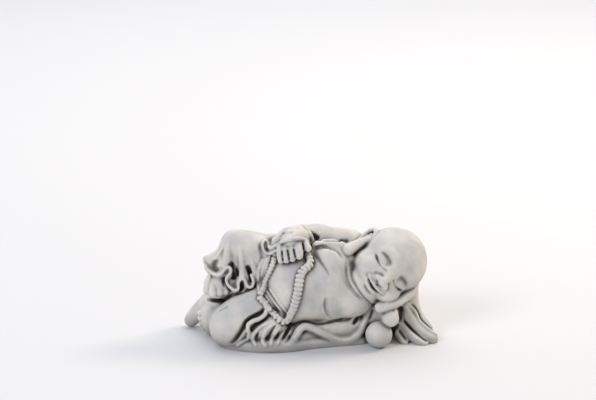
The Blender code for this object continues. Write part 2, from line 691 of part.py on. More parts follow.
def right_hand(clay):
    """A fist on the belly that holds the beads: the palm, four fingers and the thumb."""
    clay.ball((-21, -20, 113), (16, 13, 10), (20, 0, 0))
    clay.limb([(-33, -26, 111, 6.5), (-23, -27.5, 113, 8.4), (-12, -26.5, 114.5, 8)])
    fingers = [
        (-33, 115, -34, 106, 3.5), (-27.2, 117.5, -28, 107, 3.6), (-20.6, 118, -21, 108.6, 3.8),
        (-13, 118, -13, 111, 4.4),
    ]
    for knuckle, high, tip, tip_up, radius in fingers:
        clay.limb(
            [
                (knuckle, -20, high, radius + 0.6), (knuckle, -29, high - 1.5, radius + 0.2),
                (*at(tip, tip_up + 8, -36.5), radius), (*at(tip, tip_up + 1, -38), radius - 0.2),
            ],
        )
    clay.limb([(-10, -20, 117, 5.6), (-6, -28, 116, 5.4), (-4.2, -33, 111, 4.8)])


def cuffs_and_hems(clay):
    """Thin turned edges of the cloth."""
    clay.cord(
        [
            (-38.2, 124.5), (-33.9, 127.4), (-27.5, 129.9), (-21.9, 131.1), (-14.8, 132.1), (-7.7, 131.3),
            (-2.7, 128.9), (0.5, 123.9),
        ],
        [1.8, 2.3, 2.3, 1.8],
        lift=0.35,
    )
    clay.cord(
        [(-11.2, 149.5), (-4.1, 143.1), (0.2, 136.7), (2.6, 129.6), (1.6, 123.2)],
        [1.4, 2.2, 2.4, 1.8],
        lift=0.25,
    )
    clay.cord(
        [
            (-53.8, 119.6), (-55.1, 125.3), (-52.7, 130.1), (-49.9, 128.9), (-48.1, 125.3),
            (-46.4, 122.3), (-43.5, 121.4), (-38.2, 124.5),
        ],
        [1.6, 2.0, 2.0],
        lift=0.4,
    )
    clay.cord(
        [(-53.8, 119.6), (-51, 116.2), (-46.7, 115), (-42.4, 116.4), (-40, 118.2)],
        [1.6, 1.6],
        lift=0.3,
    )
    clay.cord([(-123.2, 110.5), (-122.2, 104.8), (-120.1, 99.6)], [1.6, 1.9], lift=0.3)
    drape_rim(clay, 0, 1.9)
    clay.cord(
        [
            (112.4, 58.2), (117.9, 53.5), (122.9, 47.7), (125.5, 42.3), (128.4, 35.7), (135.3, 29.2),
            (142.5, 23.8), (149.8, 18.9),
        ],
        [1.4, 2.2, 2.2, 2.2, 1.6],
        lift=0.2,
    )


def pleats(clay):
    """The cord-like hem beside the left knee, and the pleats that spread from under the beads."""
    clay.cord(
        [
            (-50.3, 49.8), (-52.1, 45.3), (-57.9, 40.8), (-65.5, 37.2), (-70.4, 33.6), (-72.1, 28.7),
            (-70.8, 23.3), (-70.9, 18.4), (-73.3, 15.5), (-78.5, 12.8), (-83.9, 9.4),
        ],
        [2.8, 2.7, 2.4, 1.8],
        lift=0.4,
    )
    clay.cord(
        [(-48.1, 36.5), (-57.9, 29.5), (-64.8, 22.6), (-66.2, 15.6), (-62.7, 9.3)],
        [1.4, 2.4, 2.9, 2.8, 2.2],
        lift=-0.1,
    )
    clay.cord(
        [(-40.5, 34.4), (-49.5, 27.4), (-53.7, 19.8), (-54.3, 12.8), (-51.6, 8.6)],
        [1.4, 2.4, 2.9, 2.8, 2.2],
        lift=-0.1,
    )
    clay.cord([(-34.2, 30.2), (-40.5, 22.6), (-44.4, 15.6), (-44.9, 10)], [1.4, 2.3, 2.6, 2.2], lift=-0.1)
    clay.cord([(-30, 25.4), (-34.2, 18.4), (-37, 11.4)], [1.4, 2.3, 2.2], lift=-0.1)


def belt(clay):
    """Waist folds and the doubled string of the belt."""
    clay.cord([(-54.1, 107.9), (-59.8, 94.8), (-60.2, 78.7), (-56.1, 64.5)], [1.6, 2.0, 1.6], lift=0.5)
    clay.cord([(-50.1, 108.9), (-55.1, 94.8), (-56.5, 80.7), (-58.2, 70.6)], [1.5, 1.9, 1.5], lift=0.5)
    clay.cord([(-47.1, 111), (-51.1, 96.8), (-53.7, 82.7), (-55.1, 74.6)], [1.5, 1.8, 1.5], lift=0.5)
    clay.cord([(-52.1, 69.6), (-46, 60.1), (-38.4, 49.4), (-28.3, 39.3)], [1.8, 1.9, 1.8], lift=0.6)
    clay.cord([(-46.4, 73.6), (-40.4, 64.1), (-32.9, 53.4), (-24.9, 43.3)], [1.6, 1.8, 1.6], lift=0.6)


BEAD_LOOP = [
    (-41, 111), (-43, 102), (-46, 93), (-50, 84), (-53, 77), (-57, 69), (-56, 62), (-52, 58), (-49, 52),
    (-45, 48), (-40, 43), (-36, 39), (-31, 37), (-26, 40), (-22, 47), (-19, 52), (-17, 59), (-15, 66),
    (-14, 71), (-13, 78), (-12, 84), (-11, 90), (-8, 95), (-4, 98), (0, 103), (-1, 109), (-3, 114),
]
BEAD_WIDTHS = [(0, 6.0), (0.3, 6.4), (0.5, 6.6), (0.62, 9.0), (0.8, 10.4), (0.92, 8.6), (1, 7.0)]
BEAD_PITCHES = [(0, 5.0), (0.5, 5.2), (0.65, 5.9), (1, 5.6)]


def beads(clay):
    """A string of flattened beads on the belly, held by the hand. They grow towards the chest."""
    line = clay.seen(BEAD_LOOP, steps=6)
    run = np.concatenate([[0], np.cumsum(np.linalg.norm(np.diff(line[:, :3], axis=0), axis=1))])
    reached = 1.5
    while reached < run[-1] - 1:
        here, ahead, behind = (
            np.array([np.interp(reached + step, run, column) for column in line.T]) for step in (0, 2, -2)
        )
        share = reached / run[-1]
        width = np.interp(share, *zip(*BEAD_WIDTHS))
        pitch = np.interp(share, *zip(*BEAD_PITCHES))
        along = Vector(ahead[:3] - behind[:3]).normalized()
        side = along.cross(Vector(here[3:])).normalized()
        out = side.cross(along)
        turned = Matrix((side, along, out)).transposed().to_4x4()
        size = Matrix.Diagonal((width / 2, pitch * 0.5, width * 0.42, 1))
        clay.add(BEAD, Matrix.Translation(Vector(here[:3]) + out * width * 0.2) @ turned @ size)
        reached += pitch


def toes(clay):
    """Small toes of the left foot in a row, and the longer ones that ridge the right foot."""
    for across, up, radius in [
        (-129.4, 46, 3.7), (-129.4, 40, 3.6), (-128.2, 34.2, 3.5), (-126, 28.8, 3.4), (-122.4, 24.2, 3.3),
    ]:
        clay.limb(placed([(across + 6, up + 1, -8, radius + 0.4), (across, up, -6, radius)]))
    clay.limb(placed([(-116.1, 92, -18, 2.5), (-118.3, 81.4, -22.5, 4.2), (-119.6, 72.2, -24, 5.2)]))
    clay.limb(placed([(-111.5, 87.8, -20, 2.5), (-112.9, 77.8, -25.5, 4.4), (-112.6, 69.7, -27.5, 5.4)]))
    clay.limb(placed([(-106.9, 84.9, -20, 2.5), (-105.8, 76.4, -25.5, 4), (-104.9, 70.7, -27, 4.8)]))
    clay.limb(placed([(-101.2, 83.5, -20, 2.5), (-99.5, 76.4, -23.5, 4), (-98, 71.4, -24.5, 4.8)]))


def statue(grain):
    """The whole figure in shares of its length, with faces about a grain wide."""
    clay = Clay()
    trunk(clay)
    clay.fuse(max(grain, 2.0))
    clay.melt(7, max(grain, 2.0))
    neck_and_legs(clay)
    clay.fuse(max(grain, 1.6))
    clay.melt(3.5, max(grain, 1.6))
    skirt_and_lapel(clay)
    feet_and_tail(clay)
    arms(clay)
    clay.fuse(max(grain, 1.2))
    clay.melt(2.2, max(grain, 1.2))
    chest_creases(clay)
    sleeve_folds(clay)
    back_folds(clay)
    clay.settle()
    knee_folds(clay)
    clay.fuse(grain)
    clay.melt(1.2, grain)
    knee_hollows(clay)
    skirt_hollows(clay)
    clay.settle()
    left_sleeve_folds(clay)
    clay.settle()
    clay.take(head_of(grain), HEAD_PLACE)
    lobes(clay)
    gourd(clay)
    right_hand(clay)
    cuffs_and_hems(clay)
    pleats(clay)
    belt(clay)
    clay.fuse(grain)
    clay.melt(0.55, grain)
    beads(clay)
    toes(clay)
    clay.fuse(grain)
    clay.melt(0.35, grain)
    return clay


def clear_scene():
    for thing in list(bpy.data.objects):
        bpy.data.objects.remove(thing)


def collection_named(name):
    collection = bpy.data.collections.new(name)
    bpy.context.scene.collection.children.link(collection)
    return collection


def cast_concrete():
    """Pale grey cast concrete with a dry, matt surface."""
    material = bpy.data.materials.new("cast concrete")
    material.use_nodes = True
    shader = material.node_tree.nodes["Principled BSDF"]
    shader.inputs["Base Color"].default_value = (0.46, 0.46, 0.45, 1)
    shader.inputs["Roughness"].default_value = 0.85
    shader.inputs["Metallic"].default_value = 0
    return material


def ground_cutter(span):
    """A block under the ground plane, which cuts the casting's flat underside."""
    mesh = bpy.data.meshes.new("ground_cutter")
    block = bmesh.new()
    bmesh.ops.create_cube(block, size=span)
    bmesh.ops.translate(block, vec=(0, 0, -span / 2), verts=block.verts)
    block.to_mesh(mesh)
    block.free()
    cutter = bpy.data.objects.new("ground_cutter", mesh)
    cutter.hide_render = True
    cutter.display_type = "WIRE"
    return cutter


def reclining_buddha():
    """The casting as one faceted solid, centred over its bounds and resting on its flat underside."""
    clay = statue(GRAIN)
    low = clay.points.min(axis=0)
    high = clay.points.max(axis=0)
    middle = np.array([(low[0] + high[0]) / 2, (low[1] + high[1]) / 2, 0])
    points = (clay.points - middle) * LENGTH / (high[0] - low[0])
    solid = bpy.data.objects.new("reclining_buddha", mesh_of("reclining_buddha", points, clay.faces))
    solid.data.materials.append(cast_concrete())
    solid.data.shade_smooth()
    thin = solid.modifiers.new("Fewer faces", "DECIMATE")
    thin.ratio = MOST_TRIANGLES / (2 * len(clay.faces))
    thin.use_collapse_triangulate = True
    return solid


def main():
    clear_scene()
    solid = reclining_buddha()
    collection_named("reclining_buddha").objects.link(solid)
    cutter = ground_cutter(2 * LENGTH)
    collection_named("cutters").objects.link(cutter)
    cut = solid.modifiers.new("Flat underside", "BOOLEAN")
    cut.operation = "DIFFERENCE"
    cut.solver = "EXACT"
    cut.object = cutter


main()
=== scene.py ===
"""Reclining garden figure in cast concrete, as a Blender add-on that is run as a script.

The casting is shaped in shares, of which its length holds 300, and is then set into the box of its solid. It is
drawn from the front along a line of sight that looks down by VIEW_LEAN. X runs from the feet to the head, -Y is
the front and Z is up.
"""

import math

import bmesh
import bpy
import numpy as np
from bpy.props import FloatProperty, FloatVectorProperty, IntProperty, PointerProperty
from mathutils import Euler, Matrix, Vector
from mathutils.bvhtree import BVHTree
from mathutils.kdtree import KDTree


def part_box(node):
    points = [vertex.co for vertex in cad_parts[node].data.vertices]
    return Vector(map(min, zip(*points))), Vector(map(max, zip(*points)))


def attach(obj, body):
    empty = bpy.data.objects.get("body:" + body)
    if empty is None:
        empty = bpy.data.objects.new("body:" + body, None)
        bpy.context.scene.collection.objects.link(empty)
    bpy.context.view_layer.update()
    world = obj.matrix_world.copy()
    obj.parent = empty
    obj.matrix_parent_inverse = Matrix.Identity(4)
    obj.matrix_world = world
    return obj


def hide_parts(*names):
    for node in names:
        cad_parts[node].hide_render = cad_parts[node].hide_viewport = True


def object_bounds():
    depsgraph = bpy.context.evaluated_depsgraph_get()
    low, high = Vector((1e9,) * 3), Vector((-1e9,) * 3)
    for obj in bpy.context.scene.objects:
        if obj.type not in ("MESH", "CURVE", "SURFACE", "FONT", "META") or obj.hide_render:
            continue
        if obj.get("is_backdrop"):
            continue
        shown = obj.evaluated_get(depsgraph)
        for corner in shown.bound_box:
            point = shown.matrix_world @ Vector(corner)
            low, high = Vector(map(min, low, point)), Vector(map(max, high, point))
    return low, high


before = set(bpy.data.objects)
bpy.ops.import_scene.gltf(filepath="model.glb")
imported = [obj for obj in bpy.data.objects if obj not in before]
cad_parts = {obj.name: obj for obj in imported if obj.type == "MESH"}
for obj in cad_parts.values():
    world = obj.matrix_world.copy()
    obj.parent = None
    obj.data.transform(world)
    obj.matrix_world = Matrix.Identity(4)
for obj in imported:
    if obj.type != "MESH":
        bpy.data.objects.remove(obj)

bl_info = {
    "name": "Reclining garden buddha",
    "version": (1, 0, 0),
    "blender": (4, 5, 0),
    "location": "3D View > Sidebar > Garden statue",
    "description": "Casts a reclining figure in concrete and sets it on a pale studio floor",
    "category": "Object",
}

SOLID = "reclining_buddha"
BODY = "root"
CASTING = "buddha_casting"

# Shares of the length, of which it holds 300.
GOURD_RADIUS = 15.7
GOURD_NECK_RADIUS = 10.3
EYE_SPREAD = 16.5
EYE_UP = -2.0
FRONT_EDGE = -62.0  # the y of the plane that is drawn on
FAR = 300.0  # how far in front of that plane a line of sight starts
THINNEST = 0.2
BIG_BALL = 12.0  # balls with a larger radius have more faces
LOW_DARKENING_HEIGHT = 26.0  # how high the darkening of steep sides reaches above the ground
REACHES = ((1.6, 0.35), (4.0, 0.9), (9.0, 2.6))  # widths of forms, and the depth of a full hollow of each

VIEW_LEAN = 18.0  # degrees
SHARP_EDGE = 70.0  # degrees
HEAD_PLACE = (
    Matrix.Translation((91, -10, 90))
    @ Matrix.Rotation(math.radians(55), 4, "Y")
    @ Matrix.Rotation(math.radians(-8), 4, "X")
)

LENS = 103.0  # mm
CAMERA_DISTANCE = 2.0  # metres
AIM_HEIGHT = 0.065  # metres above the ground
FIGURE_MIDDLE = (0.0004, 0.002)  # metres from the middle of the box to the figure's
PHOTO_WIDTH = 596  # pixels
AIM_RIGHT = 12.0  # pixels from the photograph's middle to the statue's
AIM_DOWN = 83.0
FLOOR_REACH = 10.0  # metres from the floor's middle to its edges

FOLD_DEPTH = 0.009  # metres, the depth of a fold that gets full painted shade
MOTTLE_WIDTH = 26.0  # mm, patches of paler concrete
SAND_WIDTH = 1.2  # mm, more than the real 0.5 mm, which is too fine to show
HOLE_SPACING = 9.0  # mm between air holes
RELIEF_HEIGHT = 0.0005  # metres, sand and holes
SPECKLE = 0.25  # how much the sand breaks up the wash and painted shade


class View:
    """A direction to draw from. A drawn point is `across` and `up`, and it is looked at along `into`."""

    def __init__(self, across, up, into, through=(0.0, 0.0, 0.0)):
        self.across = np.array(across, float)
        self.up = np.array(up, float)
        self.into = np.array(into, float)
        self.through = np.array(through, float)

    def point(self, across, up):
        return self.through + across * self.across + up * self.up


LEAN_SIN = math.sin(math.radians(VIEW_LEAN))
LEAN_COS = math.cos(math.radians(VIEW_LEAN))
FRONT_VIEW = View((1, 0, 0), (0, 0, 1 / LEAN_COS), (0, LEAN_COS, -LEAN_SIN), (0, FRONT_EDGE, 0))
BACK_VIEW = View((1, 0, 0), (0, 0, 1), (0, -1, 0))
FACE_VIEW = View((1, 0, 0), (0, 0, 1), (0, 1, 0))


def at(across, up, back):
    """The place that lies `back` behind the front edge's line and is drawn at (across, up) from the front."""
    return (across, back, (up - (back - FRONT_EDGE) * LEAN_SIN) / LEAN_COS)


def curve_through(knots, steps):
    """Rows along a smooth curve through rows of any width."""
    knots = np.array(knots, float)
    if len(knots) == 2:
        share = np.linspace(0, 1, steps + 1)[:, None]
        return knots[0] * (1 - share) + knots[1] * share
    padded = np.vstack([2 * knots[0] - knots[1], knots, 2 * knots[-1] - knots[-2]])
    t = np.linspace(0, 1, steps, endpoint=False)[:, None]
    rows = []
    for before, start, end, after in zip(padded[:-3], padded[1:-2], padded[2:-1], padded[3:]):
        bend = 2 * before - 5 * start + 4 * end - after
        twist = 3 * start - before - 3 * end + after
        rows.append(start + 0.5 * ((end - before) * t + bend * t**2 + twist * t**3))
    return np.vstack([*rows, knots[-1:]])


def unit_shape(make):
    """Points and triangles of one primitive."""
    shape = bmesh.new()
    make(shape)
    bmesh.ops.triangulate(shape, faces=shape.faces[:])
    points = np.array([vertex.co[:] for vertex in shape.verts])
    triangles = np.array([[vertex.index for vertex in face.verts] for face in shape.faces])
    shape.free()
    return points, triangles


def unit_ball(around, rings):
    return unit_shape(
        lambda shape: bmesh.ops.create_uvsphere(shape, u_segments=around, v_segments=rings, radius=1)
    )


BALL = unit_ball(32, 18)
PEARL = unit_ball(16, 9)
BEAD = (np.sign(PEARL[0]) * abs(PEARL[0]) ** 0.75, PEARL[1])
ROD = unit_shape(
    lambda shape: bmesh.ops.create_cone(shape, cap_ends=True, segments=16, radius1=1, radius2=1, depth=1)
)


class Clay:
    """A lump that shapes are added to. Fusing makes one even skin of it, which can be smoothed and carved."""

    def __init__(self):
        self.added = []
        self.points = None
        self.faces = None

    def add(self, shape, matrix):
        points, triangles = shape
        matrix = np.array(matrix)
        self.added.append((points @ matrix[:3, :3].T + matrix[:3, 3], triangles))

    def ball(self, centre, radii, turn=(0, 0, 0)):
        """A ball, or an egg where there are three radii, turned by three angles."""
        if np.isscalar(radii):
            radii = (radii, radii, radii)
        turned = Euler([math.radians(angle) for angle in turn]).to_matrix().to_4x4()
        self.add(BALL, Matrix.Translation(Vector(centre)) @ turned @ Matrix.Diagonal((*radii, 1)))

    def limb(self, knots, steps=5):
        """A round limb through rows of x, y, z and radius."""
        rows = curve_through(knots, steps)
        rows[:, 3] = rows[:, 3].clip(THINNEST)
        points, triangles = ROD
        for start, end in zip(rows[:-1], rows[1:]):
            run = Vector(end[:3] - start[:3])
            turned = np.array(run.to_track_quat("Z", "Y").to_matrix())
            share = points[:, 2:] + 0.5
            girth = start[3] * (1 - share) + end[3] * share
            local = np.hstack([points[:, :2] * girth, points[:, 2:] * run.length])
            self.added.append((local @ turned.T + (start[:3] + end[:3]) / 2, triangles))
        for row in rows:
            shape = BALL if row[3] > BIG_BALL else PEARL
            self.add(shape, Matrix.Translation(Vector(row[:3])) @ Matrix.Scale(row[3], 4))

    def drawn(self, rows, steps=5):
        """A round limb as drawn from the front, through rows of across, up, back and radius."""
        self.limb([(*at(across, up, back), radius) for across, up, back, radius in rows], steps)

    def take(self, other, matrix):
        """Adds the skin of another lump."""
        halves = [other.faces[:, [0, 1, 2]], other.faces[:, [0, 2, 3]]]
        self.add((other.points, np.vstack(halves)), matrix)

    def fuse(self, grain, reach):
        """Joins what was added to the skin, as one closed skin of faces about a grain wide, and melts it."""
        if self.points is not None:
            self.take(self, Matrix.Identity(4))
        starts = np.cumsum([0] + [len(points) for points, _ in self.added])
        points = np.vstack([points for points, _ in self.added])
        triangles = np.vstack([triangles + start for (_, triangles), start in zip(self.added, starts)])
        self.added = []
        lump = bpy.data.objects.new("lump", mesh_of("lump", points, triangles))
        bpy.context.scene.collection.objects.link(lump)
        remesh = lump.modifiers.new("Remesh", "REMESH")
        remesh.mode = "VOXEL"
        remesh.voxel_size = grain
        graph = bpy.context.evaluated_depsgraph_get()
        skin = bpy.data.meshes.new_from_object(lump.evaluated_get(graph))
        self.points = np.empty((len(skin.vertices), 3))
        skin.vertices.foreach_get("co", self.points.ravel())
        self.faces = np.empty((len(skin.polygons), 4), int)
        skin.polygons.foreach_get("vertices", self.faces.ravel())
        edges = np.empty((len(skin.edges), 2), int)
        skin.edges.foreach_get("vertices", edges.ravel())
        raw = lump.data
        bpy.data.objects.remove(lump)
        bpy.data.meshes.remove(raw)
        bpy.data.meshes.remove(skin)
        self.keep_outside(edges)
        self.melt(reach, grain)

    def keep_outside(self, edges):
        """Drops closed hollows inside the lump, so that one skin is left."""
        label = np.arange(len(self.points))
        while True:
            least = np.minimum(label[edges[:, 0]], label[edges[:, 1]])
            before = label.copy()
            np.minimum.at(label, edges[:, 0], least)
            np.minimum.at(label, edges[:, 1], least)
            label = label[label]
            if (label == before).all():
                break
        main = np.bincount(label).argmax()
        kept = label == main
        place = np.cumsum(kept) - 1
        self.points = self.points[kept]
        self.faces = place[self.faces[kept[self.faces[:, 0]]]]
        self.edges = place[edges[kept[edges[:, 0]]]]
        self.degree = np.bincount(self.edges.ravel(), minlength=len(self.points))[:, None]
        self.settle()

    def settle(self):
        """Takes up the slopes of the skin again after its points have moved."""
        corners = self.points[self.faces]
        slopes = np.cross(corners[:, 2] - corners[:, 0], corners[:, 3] - corners[:, 1])
        summed = self.summed(np.repeat(slopes, 4, axis=0), self.faces.ravel())
        self.normals = summed / np.linalg.norm(summed, axis=1, keepdims=True).clip(1e-9)
        self.tree = BVHTree.FromPolygons(self.points.tolist(), self.faces.tolist())

    def summed(self, values, places):
        count = len(self.points)
        return np.stack([np.bincount(places, column, count) for column in values.T], axis=1)

    def neighbours(self):
        """The mean place of each point's neighbours."""
        first, second = self.edges.T
        total = self.summed(self.points[second], first) + self.summed(self.points[first], second)
        return total / self.degree

    def melt(self, reach, grain):
        """Smooths forms that are smaller than about the reach."""
        work = (reach / grain) ** 2
        rounds = max(1, round(work))
        for _ in range(rounds):
            self.points += 0.5 * min(1, work / rounds) * (self.neighbours() - self.points)
        self.settle()

    def near(self, path, width):
        """The points of the skin within a width of the path, how far off they are and how far along it."""
        low = path.min(axis=0) - width
        high = path.max(axis=0) + width
        which = np.flatnonzero(((self.points >= low) & (self.points <= high)).all(axis=1))
        points = self.points[which]
        best = np.full(len(which), np.inf)
        share = np.zeros(len(which))
        pieces = len(path) - 1
        for index in range(pieces):
            run = path[index + 1] - path[index]
            along = np.clip((points - path[index]) @ run / max(run @ run, 1e-9), 0, 1)
            distance = np.linalg.norm(points - path[index] - along[:, None] * run, axis=1)
            closer = distance < best
            best[closer] = distance[closer]
            share[closer] = (index + along[closer]) / pieces
        inside = best < width
        return which[inside], best[inside], share[inside]

    def carve(self, path, width, depth, ends=0.2, into=None):
        """Moves the skin inwards along a path, or outwards for a depth below 0, fading out at both ends."""
        if len(path) < 2:
            return
        which, distance, share = self.near(path, width)
        fade = (1 - (distance / width) ** 2) ** 2
        if ends > 0:
            fade *= np.clip(np.minimum(share, 1 - share) / ends, 0, 1) ** 0.6
        way = -self.normals[which] if into is None else into
        self.points[which] += depth * fade[:, None] * way

    def seen(self, drawn, view=FRONT_VIEW, steps=4):
        """Points and slopes of the skin under a drawn line."""
        found = []
        for across, up in curve_through(drawn, steps):
            start = view.point(across, up) - view.into * FAR
            place, slope, _, _ = self.tree.ray_cast(Vector(start), Vector(view.into))
            if place is not None:
                found.append((*place, *slope))
        return np.array(found).reshape(-1, 6)

    def groove(self, drawn, width, depth, ends=0.2, view=FRONT_VIEW):
        """A groove across the skin, or a ridge for a depth below 0, square to the skin."""
        self.carve(self.seen(drawn, view)[:, :3], width, depth, ends)

    def press(self, drawn, width, depth, ends=0.2, view=FRONT_VIEW):
        """A hollow that is pressed straight in along the line of sight."""
        self.carve(self.seen(drawn, view)[:, :3], width, depth, ends, view.into)

    def cord(self, drawn, radii, lift, view=FRONT_VIEW):
        """A cord on the skin under a drawn line. Its lift is a share of its radius."""
        found = self.seen(drawn, view)
        if len(found) < 2:
            return
        spread = np.linspace(0, 1, len(found))
        girth = np.interp(spread, np.linspace(0, 1, len(radii)), radii)[:, None]
        self.limb(np.hstack([found[:, :3] + found[:, 3:] * lift * girth, girth]), steps=1)


def mesh_of(name, points, faces):
    """A mesh of triangles or of quads."""
    mesh = bpy.data.meshes.new(name)
    mesh.vertices.add(len(points))
    mesh.vertices.foreach_set("co", points.ravel())
    mesh.loops.add(faces.size)
    mesh.loops.foreach_set("vertex_index", faces.ravel())
    mesh.polygons.add(len(faces))
    mesh.polygons.foreach_set("loop_start", np.arange(len(faces)) * faces.shape[1])
    mesh.update(calc_edges=True)
    return mesh


def trunk(clay):
    """Belly, chest, hips and the mass of the robe behind them."""
    for centre, radii in (
        ((-12, -8, 64), (47, 46, 49)),
        ((20, -8, 68), (40, 42, 48)),
        ((-48, 10, 56), (38, 40, 52)),
        ((36, 4, 70), (44, 38, 50)),
        ((5, 22, 58), (88, 38, 58)),
        ((-20, 20, 25), (110, 34, 40)),
        ((60, 20, 25), (66, 34, 42)),
        ((40, 20, 98), (30, 26, 28)),
    ):
        clay.ball(centre, radii)
    clay.ball((46, -22, 58), (29, 24, 28), (0, 20, 0))


def neck_and_legs(clay):
    """The neck, the breast, and both legs under the cloth with the knee raised."""
    clay.limb([(52, -2, 88, 24), (66, -6, 88, 25), (76, -8, 89, 25)])
    clay.ball((27, -20, 101), (23, 21, 17), (0, 38, 0))
    clay.limb([(-46, 0, 92, 29), (-68, -3, 103, 25.5), (-85.5, -5, 113, 19.7)])
    clay.limb([(-85.5, -3, 111, 19), (-94, -6, 92, 20), (-98, -6, 74, 17)])
    clay.limb([(-66, 0, 90, 24), (-72, -8, 74, 20), (-66, -12, 62, 16)])
    clay.limb([(-40, -14, 56, 24), (-66, -24, 42, 26), (-88, -32, 26, 27), (-92, -32, 22, 26)])
    clay.limb([(-88, -20, 24, 23), (-112, 0, 22, 17)])


def skirt_and_lapel(clay):
    """The robe on the ground: its front wall, the lip that turns up in front of the chest, and the lapel."""
    clay.drawn([
        (-92, 8, -44, 8), (-62, 7, -53, 9), (-40, 8, -54, 9.5), (-20, 8, -50, 9), (0, 10, -42, 8),
        (30, 11, -34, 7.5), (60, 13, -27, 7),
    ])
    clay.limb([(-66, -42, 14, 13), (-52, -44, 22, 13), (-40, -43, 30, 12), (-34, -40, 34, 10)])
    clay.limb([(-34, -40, 10, 14), (-28, -36, 14, 13)])
    clay.limb([(-10, -30, 14, 16), (30, -18, 16, 18), (66, -4, 20, 20)])
    clay.drawn([
        (-22, 5, -52, 4), (-18, 17, -52, 4.5), (-12, 27, -50, 4.5), (-6, 31, -47, 4.5), (2, 29, -44, 4.5),
        (10, 25, -41.5, 4.5), (18, 20.5, -39.5, 4.5), (28, 15.5, -37, 4.5), (37, 13, -35.5, 4.5),
        (47, 14, -33.5, 4.5), (54, 18.5, -31, 4.5), (60, 25, -28.5, 4.5), (63.5, 34, -26, 4.5),
        (66.5, 44, -23, 4.5), (69, 52, -20, 4),
    ])
    clay.drawn([
        (-2, 32, -38, 5), (10, 29, -34.5, 5.5), (20, 25, -31.5, 6), (32, 21.5, -29.5, 6), (45, 21.5, -26.5, 6),
        (54, 27, -23.5, 6), (60, 36, -20, 6),
    ])
    clay.drawn([
        (-16, 11, -46, 7.5), (-8, 20, -42, 7.5), (0, 19, -38, 7.5), (12, 15, -33.5, 7), (30, 12, -29.5, 7),
        (50, 13, -26, 7), (70, 14, -21, 8),
    ])
    clay.drawn([
        (12, 30, -35, 1.5), (24.6, 28.5, -32.5, 2.4), (36, 29.8, -30, 2.8), (44, 33.5, -27.5, 3),
        (50.5, 39, -24.5, 3),
    ])
    clay.ball((74, -6, 20), (22, 22, 34))
    clay.limb([(-74, -22, 10, 22), (-40, -24, 8, 22), (0, -20, 8, 22), (40, -12, 8, 20)])


def feet_and_tail(clay):
    """The robe's trailing end, the left foot at the ground and the right foot above it."""
    clay.limb([(-108, 14, 46, 13), (-122, 22, 32, 12), (-136, 28, 17, 10.5), (-143, 29, 9, 8.5)])
    clay.ball((-117.5, -2, 24), (13.5, 15, 21))
    clay.ball((-102, 18, 30), (26, 28, 36))
    clay.ball(at(-107, 79, -13), (17.5, 17, 16), (0, 10, 0))
    clay.ball(at(-97, 80, -10), (20, 18, 18))
    clay.limb([(-112, 2, 40, 14), (-126, 18, 32, 9)])


def arms(clay):
    """The right arm with its wide sleeve, and the left forearm that props the head."""
    clay.limb([
        (48, 12, 109, 18), (33, 10, 113.5, 16.5), (21, 8, 116, 15.4), (10, 6, 119.5, 16), (-1, 3, 120, 15),
    ])
    clay.drawn([
        (-7.7, 135.6, 0, 14), (-13.3, 134.9, -10, 14), (-18.3, 132.4, -19, 13.5), (-21.9, 129.6, -25, 12.5),
    ])
    clay.drawn([
        (3.7, 125, -20, 2.5), (10.8, 126.6, -22, 4.6), (20.8, 126.6, -21, 6), (30, 124.5, -20, 7),
        (38.5, 119.6, -19, 8), (44.9, 109.7, -20, 8),
    ])
    clay.drawn([(-24.7, 136, -6, 11), (-33.2, 131, -14, 9), (-38.9, 128.1, -20, 7)])
    clay.drawn([(-40.3, 131, -4, 8), (-47.4, 132.4, -2, 7), (-50.3, 132.1, 0, 6)])
    clay.ball(at(-39, 119, -24), (9, 8, 8))
    clay.ball(at(6, 114, -19), (10, 9, 9))
    clay.limb([(70, 14, 40, 26), (100, 6, 24, 24), (126, -6, 12, 13)])
    clay.drawn([
        (111.3, 52.4, -6, 6), (116.4, 40.8, -10, 7), (126.6, 27.8, -17, 7.5), (141.1, 16.9, -24, 7.5),
        (144.7, 15.4, -24, 6),
    ])
    clay.drawn([(108.4, 32.1, -14, 6), (117.1, 21.2, -22, 6.5), (128.7, 12.5, -30, 6), (134.5, 9.6, -33, 4.5)])
    clay.drawn([(104.1, 22, -20, 5), (109.2, 13.3, -27, 5), (112.1, 9.6, -30, 4)])
    clay.limb([(134, -6, 8, 12), (121, 2, 26, 12), (116, 8, 46, 13), (116, 10, 66, 13)])
    clay.limb([(110, 18, 60, 20), (106, 16, 40, 22), (112, 14, 16, 22)])


def chest_creases(clay):
    """Soft hollows under the breasts, at the waist and at the armpit."""
    for line, width, depth in (
        ([(4.4, 121), (5.6, 116), (10.5, 107.9), (18.1, 96.8), (23, 88.3)], 3.4, 1.2),
        ([(18.9, 64.5), (18.1, 54.4), (20.6, 45.4), (25.6, 39.1)], 4.5, 1.8),
        ([(10.5, 52.4), (15.5, 44.4), (21.6, 40.7)], 3, 0.8),
        ([(4.4, 121), (14.5, 123.1), (25.6, 121), (33.7, 116), (38.3, 106.5)], 3.4, 3.0),
        ([(41.8, 106.9), (41.8, 92.8), (44.8, 78.7), (52.9, 68.6), (62.9, 60.5)], 3.2, 2.4),
        ([(36.7, 98.8), (39.7, 84.7), (46.8, 72.6)], 3, 1.2),
    ):
        clay.groove(line, width, depth)


